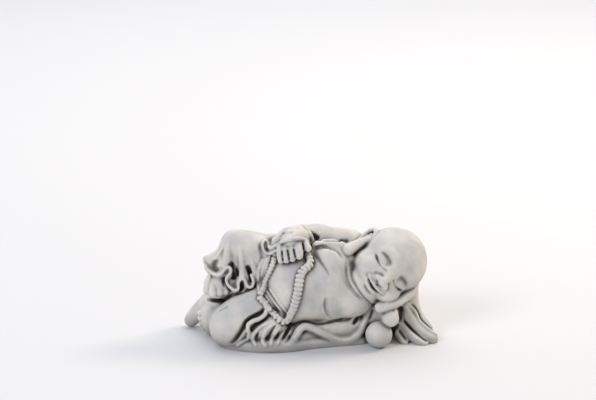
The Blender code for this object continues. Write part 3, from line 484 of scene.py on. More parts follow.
def fine_creases(clay):
    """The narrow lines that hold the dark wash: under the breasts, at the armpit and across the waist."""
    for line, width, depth, ends in (
        ([(3.8, 119), (6, 112.6), (11.3, 106.1), (17.7, 97.6), (23.8, 87.5)], 1.6, 1.1, 0.3),
        ([(18.1, 66.1), (16.9, 56.5), (18.9, 46.4), (25.6, 38.3)], 1.8, 1.2, 0.4),
        ([(25.6, 38.3), (34.7, 37.1), (44.8, 39.1), (52.9, 43.3)], 2.4, 1.2, 0.3),
        ([(43.2, 104.9), (42.8, 92.8), (45.6, 79.7), (52.9, 70.6)], 1.8, 1.5, 0.25),
        ([(-56.1, 68.2), (-48.1, 56.5), (-39, 46), (-30.3, 37.1)], 1.5, 1.0, 0.15),
    ):
        clay.groove(line, width, depth, ends)


def sleeve_folds(clay):
    """Creases of the right sleeve, above the hand."""
    clay.groove([(9.4, 131.3), (17.2, 130.4), (27.9, 130.3), (38.5, 130), (46.3, 130)], 3, 3.2, ends=0.1)
    clay.groove([(-9.8, 149.5), (-3.4, 144.1), (3, 138.1), (9.4, 133)], 3.5, 2.6, ends=0.1)
    clay.press([(3, 137.4), (5.5, 134.5), (10.8, 132.1)], 5, 6, ends=0.1)
    clay.groove([(-33.9, 138.9), (-26.1, 138.7), (-17.6, 140.4)], 2.6, 2.4)
    clay.groove([(-36.1, 135.6), (-29, 135.4), (-20.4, 137.5)], 2.4, 1.8)
    clay.groove([(-24.7, 143.4), (-18.3, 144.1), (-10.5, 144.1)], 2.4, 1.5)
    clay.press([(-45.6, 128.9), (-45.3, 126.4)], 4.5, 7)
    clay.groove([(-58.1, 128.1), (-57.4, 119.6), (-55.2, 111.1), (-56.6, 104)], 3.5, 2.2)


def knee_folds(clay):
    """Folds that fall from the raised knee."""
    clay.cord([(-93.1, 131.8), (-95.6, 120.4), (-96.3, 109.1), (-98, 101.3)], [1, 4, 5.5, 5], lift=-0.25)
    clay.cord([(-81.4, 125.4), (-79.2, 109.1), (-78.5, 96.3), (-78.5, 87.8)], [1, 3.5, 4.5, 4.5], lift=-0.2)
    clay.cord([(-67.9, 109.1), (-65, 99.1), (-62.9, 87.8)], [1, 3.5, 4], lift=-0.3)
    clay.cord([
        (-101.2, 121.9), (-106.2, 113.3), (-112.6, 106.2), (-118.6, 101.6),
    ], [1, 2.6, 2.8, 2.2], lift=0.2)
    clay.drawn([
        (-102.7, 114.8, -8, 8), (-109.8, 111.2, -9, 7), (-115.4, 108.4, -11, 6.5), (-120.3, 109.6, -13, 4.4),
    ])
    drape_rim(clay, 4, 4)
    clay.drawn([(-102.7, 109.1, -6, 9), (-108.3, 103.4, -7, 8), (-114, 102, -9, 6.5), (-119, 103.4, -11, 4.6)])


def drape_rim(clay, behind, radius):
    """The wavy edge of the robe over the right leg."""
    rim = [
        (-120.1, 99.6, -14), (-117.8, 96.3, -17), (-112.8, 92.4, -22), (-107.6, 90.4, -26),
        (-102.9, 91.7, -27), (-99.6, 95.7, -27), (-96.3, 98.9, -28), (-93, 99.2, -29), (-91.4, 96.3, -29),
        (-92.4, 92.4, -28.5), (-95.4, 89.1, -28), (-97, 85.1, -28), (-95.9, 80.5, -28.5),
        (-93, 76.6, -29.5), (-89.1, 73.6, -30.5), (-85.4, 72.6, -31), (-83.1, 74.6, -30.5),
        (-83.1, 78.5, -29), (-82.2, 83.2, -28), (-79.1, 86, -28), (-75.9, 85.4, -28.5),
        (-74.3, 81.8, -29.5), (-73, 78.3, -31), (-70.3, 76.1, -32), (-67.3, 76.9, -32),
        (-65.6, 80.1, -31), (-66, 85.1, -29), (-68, 90.4, -27),
    ]
    clay.drawn([(across, up, back + behind, radius) for across, up, back in rim], steps=3)


def knee_hollows(clay):
    """The dark pockets between those folds, and the gap over the left leg."""
    for line, width, depth, ends in (
        ([(-93.1, 104.8), (-89.9, 99.1), (-88.5, 92.7), (-89.9, 84.9)], 5.2, 12, 0.3),
        ([(-88.5, 99.8), (-85.3, 93.5), (-84.9, 88.5)], 4.6, 10, 0.3),
        ([(-72.8, 102), (-70, 94.9), (-67.9, 87.8), (-68.2, 81.4)], 3.8, 10, 0.3),
        ([(-106.9, 109.1), (-109.8, 100.6), (-105.5, 94.9)], 6, 3, 0.2),
        ([(-99.8, 88.5), (-97, 79.3), (-92, 70)], 5, 9, 0.3),
        ([(-80.6, 82.1), (-79.9, 76.4), (-82.8, 71.4)], 4.5, 8, 0.2),
        ([(-122.2, 61.9), (-109.8, 60.4), (-98.4, 61.9), (-89.9, 66.5)], 3.4, 7, 0.25),
        ([(-88.5, 67.2), (-77.1, 70), (-65, 77.1), (-60.8, 81.4)], 3.2, 4, 0.2),
    ):
        clay.press(line, width, depth, ends)
    clay.groove([(-106.8, 48), (-99.6, 52.1), (-94.3, 54.5)], 2.6, 1.6)


def skirt_hollows(clay):
    """The valleys between the pleats under the belly, and the troughs behind the robe's lip."""
    clay.press([
        (-53.2, 52.2), (-55.5, 47.5), (-61.4, 44), (-68, 40.5), (-73.2, 36.3), (-77, 29.8), (-81.8, 22.5),
        (-87.1, 15.2), (-93, 10.7),
    ], 4.4, 6.5, ends=0.2)
    clay.press([(-48.1, 41.3), (-53.7, 37.8), (-63.4, 33), (-69.7, 26)], 2.6, 4.2, ends=0.3)
    clay.press([(-51.6, 33), (-59.2, 26), (-61.4, 18.4), (-59.9, 12.8)], 2.2, 3, ends=0.4)
    clay.press([(-39, 33.7), (-44.6, 25.4), (-48.1, 18.4), (-48.8, 14.2)], 2.4, 4, ends=0.35)
    clay.press([(-34.9, 26.7), (-39.8, 19.8), (-41.1, 13.5)], 2, 2.4, ends=0.4)
    clay.press([(-34.2, 33.7), (-24.4, 30.9), (-27.2, 23.9), (-32.8, 14.2)], 3.4, 6, ends=0.25)
    clay.press([(-14.8, 27.3), (-22, 19.3), (-29.2, 11.2)], 3.2, 3.0)
    clay.press([
        (-36.4, 35.9), (-25.6, 33.4), (-16.6, 34.3), (-7.7, 36.8), (1.3, 34.3), (10.3, 33.4), (19.3, 34.5),
        (31.8, 38.1), (46.9, 42.8), (53.3, 45.7),
    ], 2.4, 2.8, ends=0.05)
    clay.press([(55.7, 44), (53.8, 38.5), (50, 32)], 3.2, 5, ends=0.3)
    clay.press([(68.9, 37.9), (71.5, 44.4), (72.9, 51)], 2.4, 2.5)


def left_sleeve_folds(clay):
    """Creases that run along the left sleeve to its end on the ground."""
    clay.press([
        (109.2, 51), (110.3, 37.9), (117.9, 27.8), (124.4, 21.6), (132.4, 15.1), (138.2, 11.5),
    ], 2.6, 4.2, ends=0.12)
    clay.press([(103.4, 26.7), (107.7, 20.5), (113.2, 12.5)], 2.4, 3.4)
    clay.press([(105.5, 54.6), (106.3, 45.9), (104.1, 35)], 6, 8, ends=0.2)
    clay.press([(101.2, 35), (97.6, 23.4), (96.8, 13.3)], 6, 9, ends=0.2)
    clay.groove([(119.3, 56.8), (127.3, 47.3), (130.9, 37.9), (140.3, 28.5), (148.3, 22)], 2.8, 2.4, ends=0.12)


def back_folds(clay):
    """Broad, plain folds of the robe behind, from the shoulder down to the hip and the ground."""
    for line, width, depth in (
        ([(58, 100), (30, 84), (-6, 62), (-30, 30), (-38, 8)], 9, 3.0),
        ([(20, 112), (-8, 96), (-40, 72), (-66, 40), (-74, 12)], 9, 3.2),
        ([(66, 78), (44, 58), (20, 36), (10, 10)], 8, 2.6),
        ([(84, 54), (70, 36), (58, 8)], 7, 2.2),
        ([(-28, 104), (-56, 86), (-84, 62), (-96, 30)], 8, 2.4),
    ):
        clay.groove(line, width, depth, view=BACK_VIEW)


def head_masses(head):
    """The skull, the jaw, full cheeks and the bridge of the nose. The face looks to -Y and its top is up."""
    head.ball((0, 3, 8), (39.5, 43, 40))
    head.ball((0, -5, -12), (35.5, 36, 33))
    head.ball((0, -20, -34), (17, 14, 12))
    head.ball((0, -12, -36), (25, 20, 11))
    head.limb([(0, -34, 2, 4.5), (0, -39, -7, 5), (0, -43.5, -15.5, 6.2)])
    for side in (-1, 1):
        head.ball((17 * side, -24, -17), (15, 14, 16))
        head.ball((25 * side, -6, -18), (11.5, 18, 15))
        head.ball((6.8 * side, -41, -17.5), (4.8, 5.5, 4.2))


def mirrored(side, line):
    return [(across * side, up) for across, up in line]


def sockets_and_brows(head):
    """The hollows that the eyes lie in, and the brows over them."""
    for side in (-1, 1):
        head.groove(mirrored(side, [(8, 1), (16, 3), (25, 0)]), 9, 3.6, 0.3, FACE_VIEW)
        head.groove(mirrored(side, [(5, 9), (12, 13), (22, 12), (29, 6)]), 5, -1.5, 0.35, FACE_VIEW)


def lids_and_lips(head):
    """Eyeballs under closed lids, and full lips."""
    for side in (-1, 1):
        place = head.seen([(EYE_SPREAD * side, EYE_UP), (EYE_SPREAD * side, EYE_UP)], FACE_VIEW)[0]
        head.ball((EYE_SPREAD * side, place[1] + 4.4, EYE_UP), (11, 6.6, 6.6), (0, 0, 14 * side))
    upper = [(-13, -26.6), (-7, -25.6), (-2.4, -24.9), (0, -25.7), (2.4, -24.9), (7, -25.6), (13, -26.6)]
    lower = [(-11, -29.2), (-6, -31.2), (0, -32), (6, -31.2), (11, -29.2)]
    head.cord(upper, [0.8, 2.3, 2.9, 2.4, 2.9, 2.3, 0.8], lift=0.15, view=FACE_VIEW)
    head.cord(lower, [0.8, 2.9, 3.5, 2.9, 0.8], lift=0.1, view=FACE_VIEW)


def face_lines(head):
    """The calm closed eyes, the wings of the nose and the line of the mouth."""
    for side in (-1, 1):
        for line, width, depth, ends in (
            ([(6, -4.2), (10.5, -5.9), (16.5, -6.7), (22.5, -5.8), (27.6, -3.8)], 1.6, 3.0, 0.08),
            ([(7.4, 1.6), (11.5, 4.2), (16.5, 5.2), (22, 4.4), (27, 1.6)], 1.5, 1.3, 0.3),
            ([(3.6, -11), (7.2, -12), (12, -15.6), (12, -20)], 2.2, 1.7, 0.25),
            ([(3.0, -21), (6.4, -20.8)], 2.0, 2.6, 0),
            ([(12.5, -19), (17, -24), (18.5, -31)], 3.4, 1.5, 0.35),
            ([(13.6, -27.4), (15.4, -26.4)], 2.6, 2.2, 0),
        ):
            head.groove(mirrored(side, line), width, depth, ends, FACE_VIEW)
    mouth = [(-15, -26.8), (-9, -28), (-3.5, -28.1), (0, -28.9), (3.5, -28.1), (9, -28), (15, -26.8)]
    for line, width, depth, ends in (
        (mouth, 1.8, 2.8, 0.06),
        ([(0, -21.6), (0, -24.2)], 2.2, 1.2, 0.2),
        ([(-9, -35), (0, -36.4), (9, -35)], 3.4, 2.0, 0.3),
        ([(-19, -40.5), (-10, -43.6), (0, -44.4), (10, -43.6), (19, -40.5)], 2.6, 1.2, 0.35),
    ):
        head.groove(line, width, depth, ends, FACE_VIEW)


def ears(head):
    """The rims and the hollows of the ears. The long lobes hang off them."""
    for side, reach in ((-1, 37.8), (1, 40)):
        rim = [
            (0, -5, 9, 2.4), (2.6, 0, 14.5, 2.8), (4.4, 7, 14, 3), (5, 11, 7, 3), (4.4, 9, -2, 3),
            (3, 4, -10, 3.8),
        ]
        inner = [(1.8, 4, 9, 1.5), (2.4, 6, 3, 1.6), (2, 3, -4, 1.6)]
        front = [(0.6, -5, 5, 2.2), (1.6, -6.5, -2, 2.8), (1, -4, -11, 3.8)]
        for line in (rim, inner, front):
            head.limb(
                [(side * (reach + out), 4 + back, up - 3, radius) for out, back, up, radius in line],
                steps=4,
            )
        head.ball(((reach - 1.2) * side, 6, -1), (3.2, 8.6, 12))


def lobes(clay):
    """The long lobe of the upper ear on the shoulder, and the one of the lower ear on the gourd."""
    clay.drawn([
        (73, 134.4, -6, 3.6), (61.9, 129.1, -12, 5), (50.4, 123.1, -18.5, 6.8), (42.8, 118.6, -23, 7.6),
    ])
    clay.drawn([
        (119.3, 72.7, -22, 4.6), (113.5, 67.3, -28, 5.8), (104.8, 62, -33, 6.4), (95.4, 57.1, -38, 7),
        (87.4, 54.6, -41, 7.2), (81.3, 53.1, -42.5, 6.8),
    ])


def head_of(grain):
    """The head by itself, upright and facing -Y."""
    head = Clay()
    head_masses(head)
    head.fuse(grain, 4.5)
    sockets_and_brows(head)
    head.settle()
    lids_and_lips(head)
    head.fuse(grain, 0.9)
    face_lines(head)
    head.settle()
    ears(head)
    head.fuse(grain, 0.7)
    return head


def gourd(clay):
    """The gourd in front of the propping arm: belly, neck and stalk."""
    clay.ball((80, -41, 15.3), GOURD_RADIUS)
    clay.ball(at(92.9, 40.1, -42), GOURD_NECK_RADIUS)
    clay.drawn([(96.5, 44, -42, 6), (99.6, 48.2, -42, 2.2)])


def right_hand(clay):
    """The right hand that lies on the belly and holds the beads: its back, four fingers and the thumb."""
    clay.ball((-21, -20, 113), (16, 13, 10), (20, 0, 0))
    clay.drawn([
        (-32.5, 126, -25, 5), (-34.1, 119.6, -32.5, 4.6), (-34.1, 112.5, -36.5, 4.2), (-33.6, 106.7, -38, 3.6),
    ])
    clay.drawn([
        (-27.2, 128.1, -25, 6), (-28.1, 119.6, -34, 4.8), (-27.5, 112.5, -38, 4.4), (-27, 107, -39.5, 3.6),
    ])
    clay.drawn([
        (-20.8, 128.9, -25, 6), (-21.4, 120.3, -34.5, 4.9), (-20.6, 113.9, -38.5, 4.4), (-20, 108.5, -40, 3.6),
    ])
    clay.drawn([
        (-14, 129.2, -24, 6.5), (-14, 121.8, -34.5, 5.4), (-12.8, 116.1, -38.5, 5.1), (-12.3, 112, -39.5, 4.4),
    ])
    clay.drawn([(-7.7, 129.2, -22, 5), (-5, 124.6, -29, 4.6), (-2.3, 120.7, -32.5, 4.4)])


def finger_gaps(clay):
    for line, width, depth, ends in (
        ([(-32.2, 118.6), (-30.7, 105.1)], 1.6, 2.8, 0.12),
        ([(-25.8, 119.6), (-23.5, 106.1)], 1.6, 3.0, 0.12),
        ([(-18.9, 120.7), (-16.2, 108.1)], 1.6, 3.0, 0.12),
        ([(-8.9, 127.1), (-8.4, 123.2), (-7.2, 119.6)], 2.2, 4.0, 0.2),
    ):
        clay.press(line, width, depth, ends)


def cuffs_and_hems(clay):
    """Thin turned edges of the cloth."""
    clay.cord([
        (-38.2, 124.5), (-33.9, 127.4), (-27.5, 129.9), (-21.9, 131.1), (-14.8, 132.1), (-7.7, 131.3),
        (-2.7, 128.9), (0.5, 123.9),
    ], [1.8, 2.3, 2.3, 1.8], lift=0.35)
    clay.cord([
        (-11.2, 149.5), (-4.1, 143.1), (0.2, 136.7), (2.6, 129.6), (1.6, 123.2),
    ], [1.4, 2.2, 2.4, 1.8], lift=0.25)
    clay.cord([
        (-53.8, 119.6), (-55.1, 125.3), (-52.7, 130.1), (-49.9, 128.9), (-48.1, 125.3), (-46.4, 122.3),
        (-43.5, 121.4), (-38.2, 124.5),
    ], [1.6, 2.0, 2.0], lift=0.4)
    clay.cord([(-53.8, 119.6), (-51, 116.2), (-46.7, 115), (-42.4, 116.4), (-40, 118.2)], [1.6, 1.6], lift=0.3)
    clay.cord([(-123.2, 110.5), (-122.2, 104.8), (-120.1, 99.6)], [1.6, 1.9], lift=0.3)
    drape_rim(clay, 0, 1.9)
    clay.cord([
        (112.4, 58.2), (117.9, 53.5), (122.9, 47.7), (125.5, 42.3), (128.4, 35.7), (135.3, 29.2),
        (142.5, 23.8), (149.8, 18.9),
    ], [1.4, 2.2, 2.2, 2.2, 1.6], lift=0.2)


def pleats(clay):
    """The cord-like hem beside the left knee, and the pleats that spread from under the beads."""
    clay.cord([
        (-50.3, 49.8), (-52.1, 45.3), (-57.9, 40.8), (-65.5, 37.2), (-70.4, 33.6), (-72.1, 28.7),
        (-70.8, 23.3), (-70.9, 18.4), (-73.3, 15.5), (-78.5, 12.8), (-83.9, 9.4),
    ], [2.8, 2.7, 2.4, 1.8], lift=0.4)
    clay.cord([
        (-48.1, 36.5), (-57.9, 29.5), (-64.8, 22.6), (-66.2, 15.6), (-62.7, 9.3),
    ], [1.4, 2.4, 2.9, 2.8, 2.2], lift=-0.1)
    clay.cord([
        (-40.5, 34.4), (-49.5, 27.4), (-53.7, 19.8), (-54.3, 12.8), (-51.6, 8.6),
    ], [1.4, 2.4, 2.9, 2.8, 2.2], lift=-0.1)
    clay.cord([(-34.2, 30.2), (-40.5, 22.6), (-44.4, 15.6), (-44.9, 10)], [1.4, 2.3, 2.6, 2.2], lift=-0.1)
    clay.cord([(-30, 25.4), (-34.2, 18.4), (-37, 11.4)], [1.4, 2.3, 2.2], lift=-0.1)


def belt(clay):
    """Waist folds and the three strings of the belt."""
    for line, radii, lift in (
        ([(-54.1, 107.9), (-59.8, 94.8), (-60.2, 78.7), (-56.1, 64.5)], [1.6, 2.0, 1.6], 0.5),
        ([(-50.1, 108.9), (-55.1, 94.8), (-56.5, 80.7), (-58.2, 70.6)], [1.5, 1.9, 1.5], 0.5),
        ([(-47.1, 111), (-51.1, 96.8), (-53.7, 82.7), (-55.1, 74.6)], [1.5, 1.8, 1.5], 0.5),
        ([(-53.3, 68.6), (-46, 58.5), (-38, 48.4), (-29.1, 38.7)], [1.5, 1.6, 1.5], 0.2),
        ([(-49.7, 71), (-42.8, 61.3), (-34.7, 51), (-26.3, 41.1)], [1.5, 1.6, 1.5], 0.2),
        ([(-46, 73.8), (-39.6, 64.5), (-31.7, 53.6), (-23.8, 43.5)], [1.4, 1.5, 1.3], 0.2),
    ):
        clay.cord(line, radii, lift)


BEAD_LOOP = [
    (-41, 111), (-43, 102), (-46, 93), (-50, 84), (-53, 77), (-57, 69), (-56, 62), (-52, 58), (-49, 52),
    (-45, 48), (-40, 43), (-36, 39), (-31, 37), (-26, 40), (-22, 47), (-19, 52), (-17, 59), (-15, 66),
    (-14, 71), (-13, 78), (-12, 84), (-11, 90), (-8, 95), (-4, 98), (0, 103), (-1, 109), (-3, 114),
]
BEAD_WIDTHS = [(0, 6.8), (0.3, 7.6), (0.5, 8.0), (0.62, 9.6), (0.8, 10.8), (0.92, 9.6), (1, 8.4)]
BEAD_PITCHES = [(0, 4.3), (0.5, 4.4), (0.65, 4.7), (1, 4.5)]
BEAD_HALF_LENGTH = 0.58  # of the pitch, so that neighbours run into each other
BEAD_HALF_DEPTH = 0.42  # of the width
BEAD_LIFT = 0.2  # of the width


def beads(clay):
    """A string of flattened beads on the belly, held by the hand. They grow towards the chest."""
    line = clay.seen(BEAD_LOOP, steps=6)
    run = np.concatenate([[0], np.cumsum(np.linalg.norm(np.diff(line[:, :3], axis=0), axis=1))])
    reached = 1.5
    while reached < run[-1] - 1:
        here, ahead, behind = (
            np.array([np.interp(reached + step, run, column) for column in line.T]) for step in (0, 2, -2)
        )
        share = reached / run[-1]
        width = np.interp(share, *zip(*BEAD_WIDTHS))
        pitch = np.interp(share, *zip(*BEAD_PITCHES))
        along = Vector(ahead[:3] - behind[:3]).normalized()
        side = along.cross(Vector(here[3:])).normalized()
        out = side.cross(along)
        turned = Matrix((side, along, out)).transposed().to_4x4()
        size = Matrix.Diagonal((width / 2, pitch * BEAD_HALF_LENGTH, width * BEAD_HALF_DEPTH, 1))
        clay.add(BEAD, Matrix.Translation(Vector(here[:3]) + out * width * BEAD_LIFT) @ turned @ size)
        reached += pitch


def toes(clay):
    """Small toes of the left foot in a row, and the longer ones that ridge the right foot."""
    for across, up, radius in [
        (-129.4, 46, 3.7), (-129.4, 40, 3.6), (-128.2, 34.2, 3.5), (-126, 28.8, 3.4), (-122.4, 24.2, 3.3),
    ]:
        clay.drawn([(across + 6, up + 1, -8, radius + 0.4), (across, up, -6, radius)])
    clay.drawn([(-116.1, 92, -18, 2.5), (-118.3, 81.4, -22.5, 4.2), (-119.6, 72.2, -24, 5.2)])
    clay.drawn([(-111.5, 87.8, -20, 2.5), (-112.9, 77.8, -25.5, 4.4), (-112.6, 69.7, -27.5, 5.4)])
    clay.drawn([(-106.9, 84.9, -20, 2.5), (-105.8, 76.4, -25.5, 4), (-104.9, 70.7, -27, 4.8)])
    clay.drawn([(-101.2, 83.5, -20, 2.5), (-99.5, 76.4, -23.5, 4), (-98, 71.4, -24.5, 4.8)])


def statue(grain):
    """The whole figure in shares of its length, with faces about a grain wide."""
    clay = Clay()
    trunk(clay)
    clay.fuse(max(grain, 2.0), 7)
    neck_and_legs(clay)
    clay.fuse(max(grain, 1.6), 3.5)
    skirt_and_lapel(clay)
    feet_and_tail(clay)
    arms(clay)
    clay.fuse(max(grain, 1.2), 2.2)
    chest_creases(clay)
    sleeve_folds(clay)
    back_folds(clay)
    clay.settle()
    knee_folds(clay)
    clay.fuse(grain, 1.2)
    knee_hollows(clay)
    skirt_hollows(clay)
    fine_creases(clay)
    clay.settle()
    left_sleeve_folds(clay)
    clay.settle()
    clay.take(head_of(grain), HEAD_PLACE)
    lobes(clay)
    gourd(clay)
    right_hand(clay)
    cuffs_and_hems(clay)
    pleats(clay)
    belt(clay)
    clay.fuse(grain, 0.55)
    finger_gaps(clay)
    clay.settle()
    beads(clay)
    toes(clay)
    clay.fuse(grain, 0.35)
    return clay


def linear(hex_code):
    """A colour's linear values from its sRGB hex code."""
    values = [int(hex_code[place : place + 2], 16) / 255 for place in (1, 3, 5)]
    return tuple(v / 12.92 if v <= 0.04045 else ((v + 0.055) / 1.055) ** 2.4 for v in values)


def add_node(tree, kind, settings=None, inputs=None, stops=()):
    """Adds a node. A setting is an attribute and an input is a value or the socket that feeds it. Stops are
    places and greys along a colour ramp."""
    node = tree.nodes.new(kind)
    for name, value in (settings or {}).items():
        setattr(node, name, value)
    for key, value in (inputs or {}).items():
        if isinstance(value, bpy.types.NodeSocket):
            tree.links.new(value, node.inputs[key])
        else:
            node.inputs[key].default_value = value
    for _ in stops[2:]:
        node.color_ramp.elements.new(0.5)
    for index, (place, grey) in enumerate(stops):
        element = node.color_ramp.elements[index]
        element.position = place
        element.color = (grey, grey, grey, 1)
    return node


def cast_concrete(settings):
    """Cast concrete that was washed with a thin dark stain and wiped.

    The folds and hollows take the wash and painted shade, steep sides are darker low down and the ridges rub
    pale. Fine sand makes the surface dry and matt, with a few small air holes that are darkened as painted
    shade.
    """
    material = bpy.data.materials.new("Cast concrete with a dark wash and painted shade")
    material.use_nodes = True
    tree = material.node_tree
    shader = tree.nodes["Principled BSDF"]
    place = add_node(tree, "ShaderNodeTexCoord").outputs["Object"]
    hollow, worn, low = (
        add_node(tree, "ShaderNodeAttribute", {"attribute_name": name}).outputs["Fac"]
        for name in ("hollow", "worn", "low")
    )
    # Ambient occlusion, which paints shade into the folds.
    open_sky = add_node(
        tree, "ShaderNodeAmbientOcclusion", {"samples": 8, "only_local": True}, {"Distance": FOLD_DEPTH}
    ).outputs["AO"]
    mottle, sand = (
        add_node(
            tree,
            "ShaderNodeTexNoise",
            inputs={"Vector": place, "Scale": 1000 / width, "Detail": detail, "Roughness": roughness},
        ).outputs["Fac"]
        for width, detail, roughness in ((MOTTLE_WIDTH, 5, 0.55), (SAND_WIDTH, 3, 0.7))
    )
    nearest_hole = add_node(
        tree, "ShaderNodeTexVoronoi", inputs={"Vector": place, "Scale": 1000 / HOLE_SPACING}
    ).outputs["Distance"]
    patch, hole, fold, dryness = (
        add_node(tree, "ShaderNodeValToRGB", inputs={"Fac": source}, stops=stops).outputs["Color"]
        for source, stops in (
            (mottle, ((0.35, 0), (0.68, 1))),
            (nearest_hole, ((0.02, 1), (0.05, 0))),
            (open_sky, ((0.25, 1), (0.6, 0.5), (0.95, 0))),
            (sand, ((0.2, 0.78), (0.8, 0.95))),
        )
    )

    # The folds and hollows take the wash and painted shade, and steep sides are darker low down. The sand
    # breaks up its edge.
    wash_and_shade_mask = fold
    for source, share in ((hollow, 0.7), (low, 0.5)):
        added = {0: source, 1: share, 2: wash_and_shade_mask}
        wash_and_shade_mask = add_node(
            tree, "ShaderNodeMath", {"operation": "MULTIPLY_ADD", "use_clamp": True}, added
        ).outputs[0]
    speckle = add_node(
        tree, "ShaderNodeMath", {"operation": "MULTIPLY_ADD"}, {0: sand, 1: SPECKLE, 2: -SPECKLE / 2}
    ).outputs[0]
    speckled = add_node(tree, "ShaderNodeMath", {"operation": "ADD", "use_clamp": True}, {0: wash_and_shade_mask, 1: speckle})
    wash_and_shade_share = add_node(
        tree,
        "ShaderNodeValToRGB",
        inputs={"Fac": speckled.outputs[0]},
        stops=((0.05, 0), (0.5, 0.6), (1.0, 1)),
    ).outputs["Color"]

    # Inputs 6 and 7 and output 2 of a mix are its colours.
    colour = (*settings.stone, 1)
    # The stain layer lays the wash colour into folds and hollows: real wash and painted shade.
    for amount, strength, layer in (
        (patch, 1.0, settings.pale_stone),
        (wash_and_shade_share, 1.0, settings.wash_and_shade),
        (worn, 0.5, settings.rubbed),
        # Air holes darkened with the wash colour: painted shade in the pits.
        (hole, 0.3, settings.wash_and_shade),
    ):
        share = add_node(tree, "ShaderNodeMath", {"operation": "MULTIPLY"}, {0: amount, 1: strength})
        colour = add_node(
            tree,
            "ShaderNodeMix",
            {"data_type": "RGBA"},
            {"Factor": share.outputs[0], 6: colour, 7: (*layer, 1)},
        ).outputs[2]
    tree.links.new(colour, shader.inputs["Base Color"])
    tree.links.new(dryness, shader.inputs["Roughness"])
    shader.inputs["Specular IOR Level"].default_value = 0.3

    grains = add_node(tree, "ShaderNodeMath", {"operation": "MULTIPLY"}, {0: sand, 1: 0.5}).outputs[0]
    relief = add_node(tree, "ShaderNodeMath", {"operation": "MULTIPLY_ADD"}, {0: hole, 1: -0.9, 2: grains})
    bump = add_node(
        tree,
        "ShaderNodeBump",
        inputs={"Height": relief.outputs[0], "Strength": 0.35, "Distance": RELIEF_HEIGHT},
    )
    tree.links.new(bump.outputs["Normal"], shader.inputs["Normal"])
    return material


def hollows_and_ridges(clay, grain):
    """How far each point lies in a hollow, where the wash and painted shade go, and on a ridge, where the wash
    rubs off.
    """
    start = clay.points.copy()
    hollow = np.zeros(len(start))
    ridge = np.zeros(len(start))
    done = 0
    for reach, full in REACHES:
        rounds = round((reach / grain) ** 2)
        for _ in range(rounds - done):
            clay.points += 0.5 * (clay.neighbours() - clay.points)
        done = rounds
        rise = ((clay.points - start) * clay.normals).sum(axis=1) / full
        hollow += np.clip(rise, 0, 1.2) * 0.45
        ridge += np.clip(-rise, 0, 1) * 0.33
    clay.points = start
    return np.clip(hollow, 0, 1), np.clip(ridge, 0, 1)


def casting_mesh(clay, low, high, most_triangles):
    """The skin set into the solid's box, thinned and cut flat underneath."""
    span = high - low
    least = clay.points.min(axis=0)
    most = clay.points.max(axis=0)
    scale = span.x / (most[0] - least[0])
    middle = (least + most) / 2
    middle[2] = 0
    centre = np.array([(low.x + high.x) / 2, (low.y + high.y) / 2, low.z])
    points = (clay.points - middle) * scale + centre
    rough = bpy.data.objects.new("rough_casting", mesh_of("rough_casting", points, clay.faces))
    bpy.context.scene.collection.objects.link(rough)
    thin = rough.modifiers.new("Fewer faces", "DECIMATE")
    thin.ratio = min(1, most_triangles / (2 * len(clay.faces)))
    thin.use_collapse_triangulate = True
    ground = bmesh.new()
    bmesh.ops.create_cube(ground, size=2 * span.x)
    bmesh.ops.translate(ground, vec=(0, 0, low.z - span.x), verts=ground.verts)
    block = bpy.data.meshes.new("ground_cutter")
    ground.to_mesh(block)
    ground.free()
    cutter = bpy.data.objects.new("ground_cutter", block)
    bpy.context.scene.collection.objects.link(cutter)
    cut = rough.modifiers.new("Flat underside", "BOOLEAN")
    cut.operation = "DIFFERENCE"
    cut.solver = "EXACT"
    cut.object = cutter
    graph = bpy.context.evaluated_depsgraph_get()
    mesh = bpy.data.meshes.new_from_object(rough.evaluated_get(graph))
    for helper in (rough, cutter):
        data = helper.data
        bpy.data.objects.remove(helper)
        bpy.data.meshes.remove(data)
    return mesh, points


def carry_over(mesh, points, values):
    """Gives each point of the mesh the values of the nearest of the finer points."""
    tree = KDTree(len(points))
    for index, point in enumerate(points):
        tree.insert(point, index)
    tree.balance()
    nearest = np.array([tree.find(vertex.co)[1] for vertex in mesh.vertices])
    for name, value in values.items():
        attribute = mesh.attributes.new(name, "FLOAT", "POINT")
        attribute.data.foreach_set("value", value[nearest].astype(np.float32))


class CastingSettings(bpy.types.PropertyGroup):
    grain: FloatProperty(
        name="Grain",
        description="Width of the skin's faces while the casting is shaped, in shares of its length",
        default=0.8,
        min=0.6,
        max=3.0,
    )
    most_triangles: IntProperty(
        name="Triangles", description="Most triangles in the casting", default=190000, min=10000, max=195000
    )
    stone: FloatVectorProperty(
        name="Stone", description="Concrete in its darker patches", subtype="COLOR", default=linear("#bfbebb")
    )
    pale_stone: FloatVectorProperty(
        name="Pale stone", description="Concrete in paler patches", subtype="COLOR", default=linear("#ddd7ca")
    )
    rubbed: FloatVectorProperty(
        name="Rubbed", description="Concrete where it is rubbed", subtype="COLOR", default=linear("#f2eee5")
    )
    # The wash colour is also the colour of the painted shade in the folds and the air holes.
    wash_and_shade: FloatVectorProperty(
        name="Wash and shade", description="The dark wash and painted shade in the folds", subtype="COLOR", default=linear("#403b36")
    )


class StageSettings(bpy.types.PropertyGroup):
    floor: FloatVectorProperty(
        name="Floor", description="Colour of the floor", subtype="COLOR", default=linear("#dadadb")
    )
    top_light: FloatProperty(
        name="Top light", description="Broad soft light from above", default=88.0, min=0, unit="POWER"
    )
    warm_light: FloatProperty(
        name="Warm light", description="Soft light from the right", default=40.0, min=0, unit="POWER"
    )
    cool_light: FloatProperty(
        name="Cool light", description="Soft light from the left", default=56.0, min=0, unit="POWER"
    )
    sky_light: FloatProperty(name="Sky", description="Even light from all round", default=0.46, min=0)


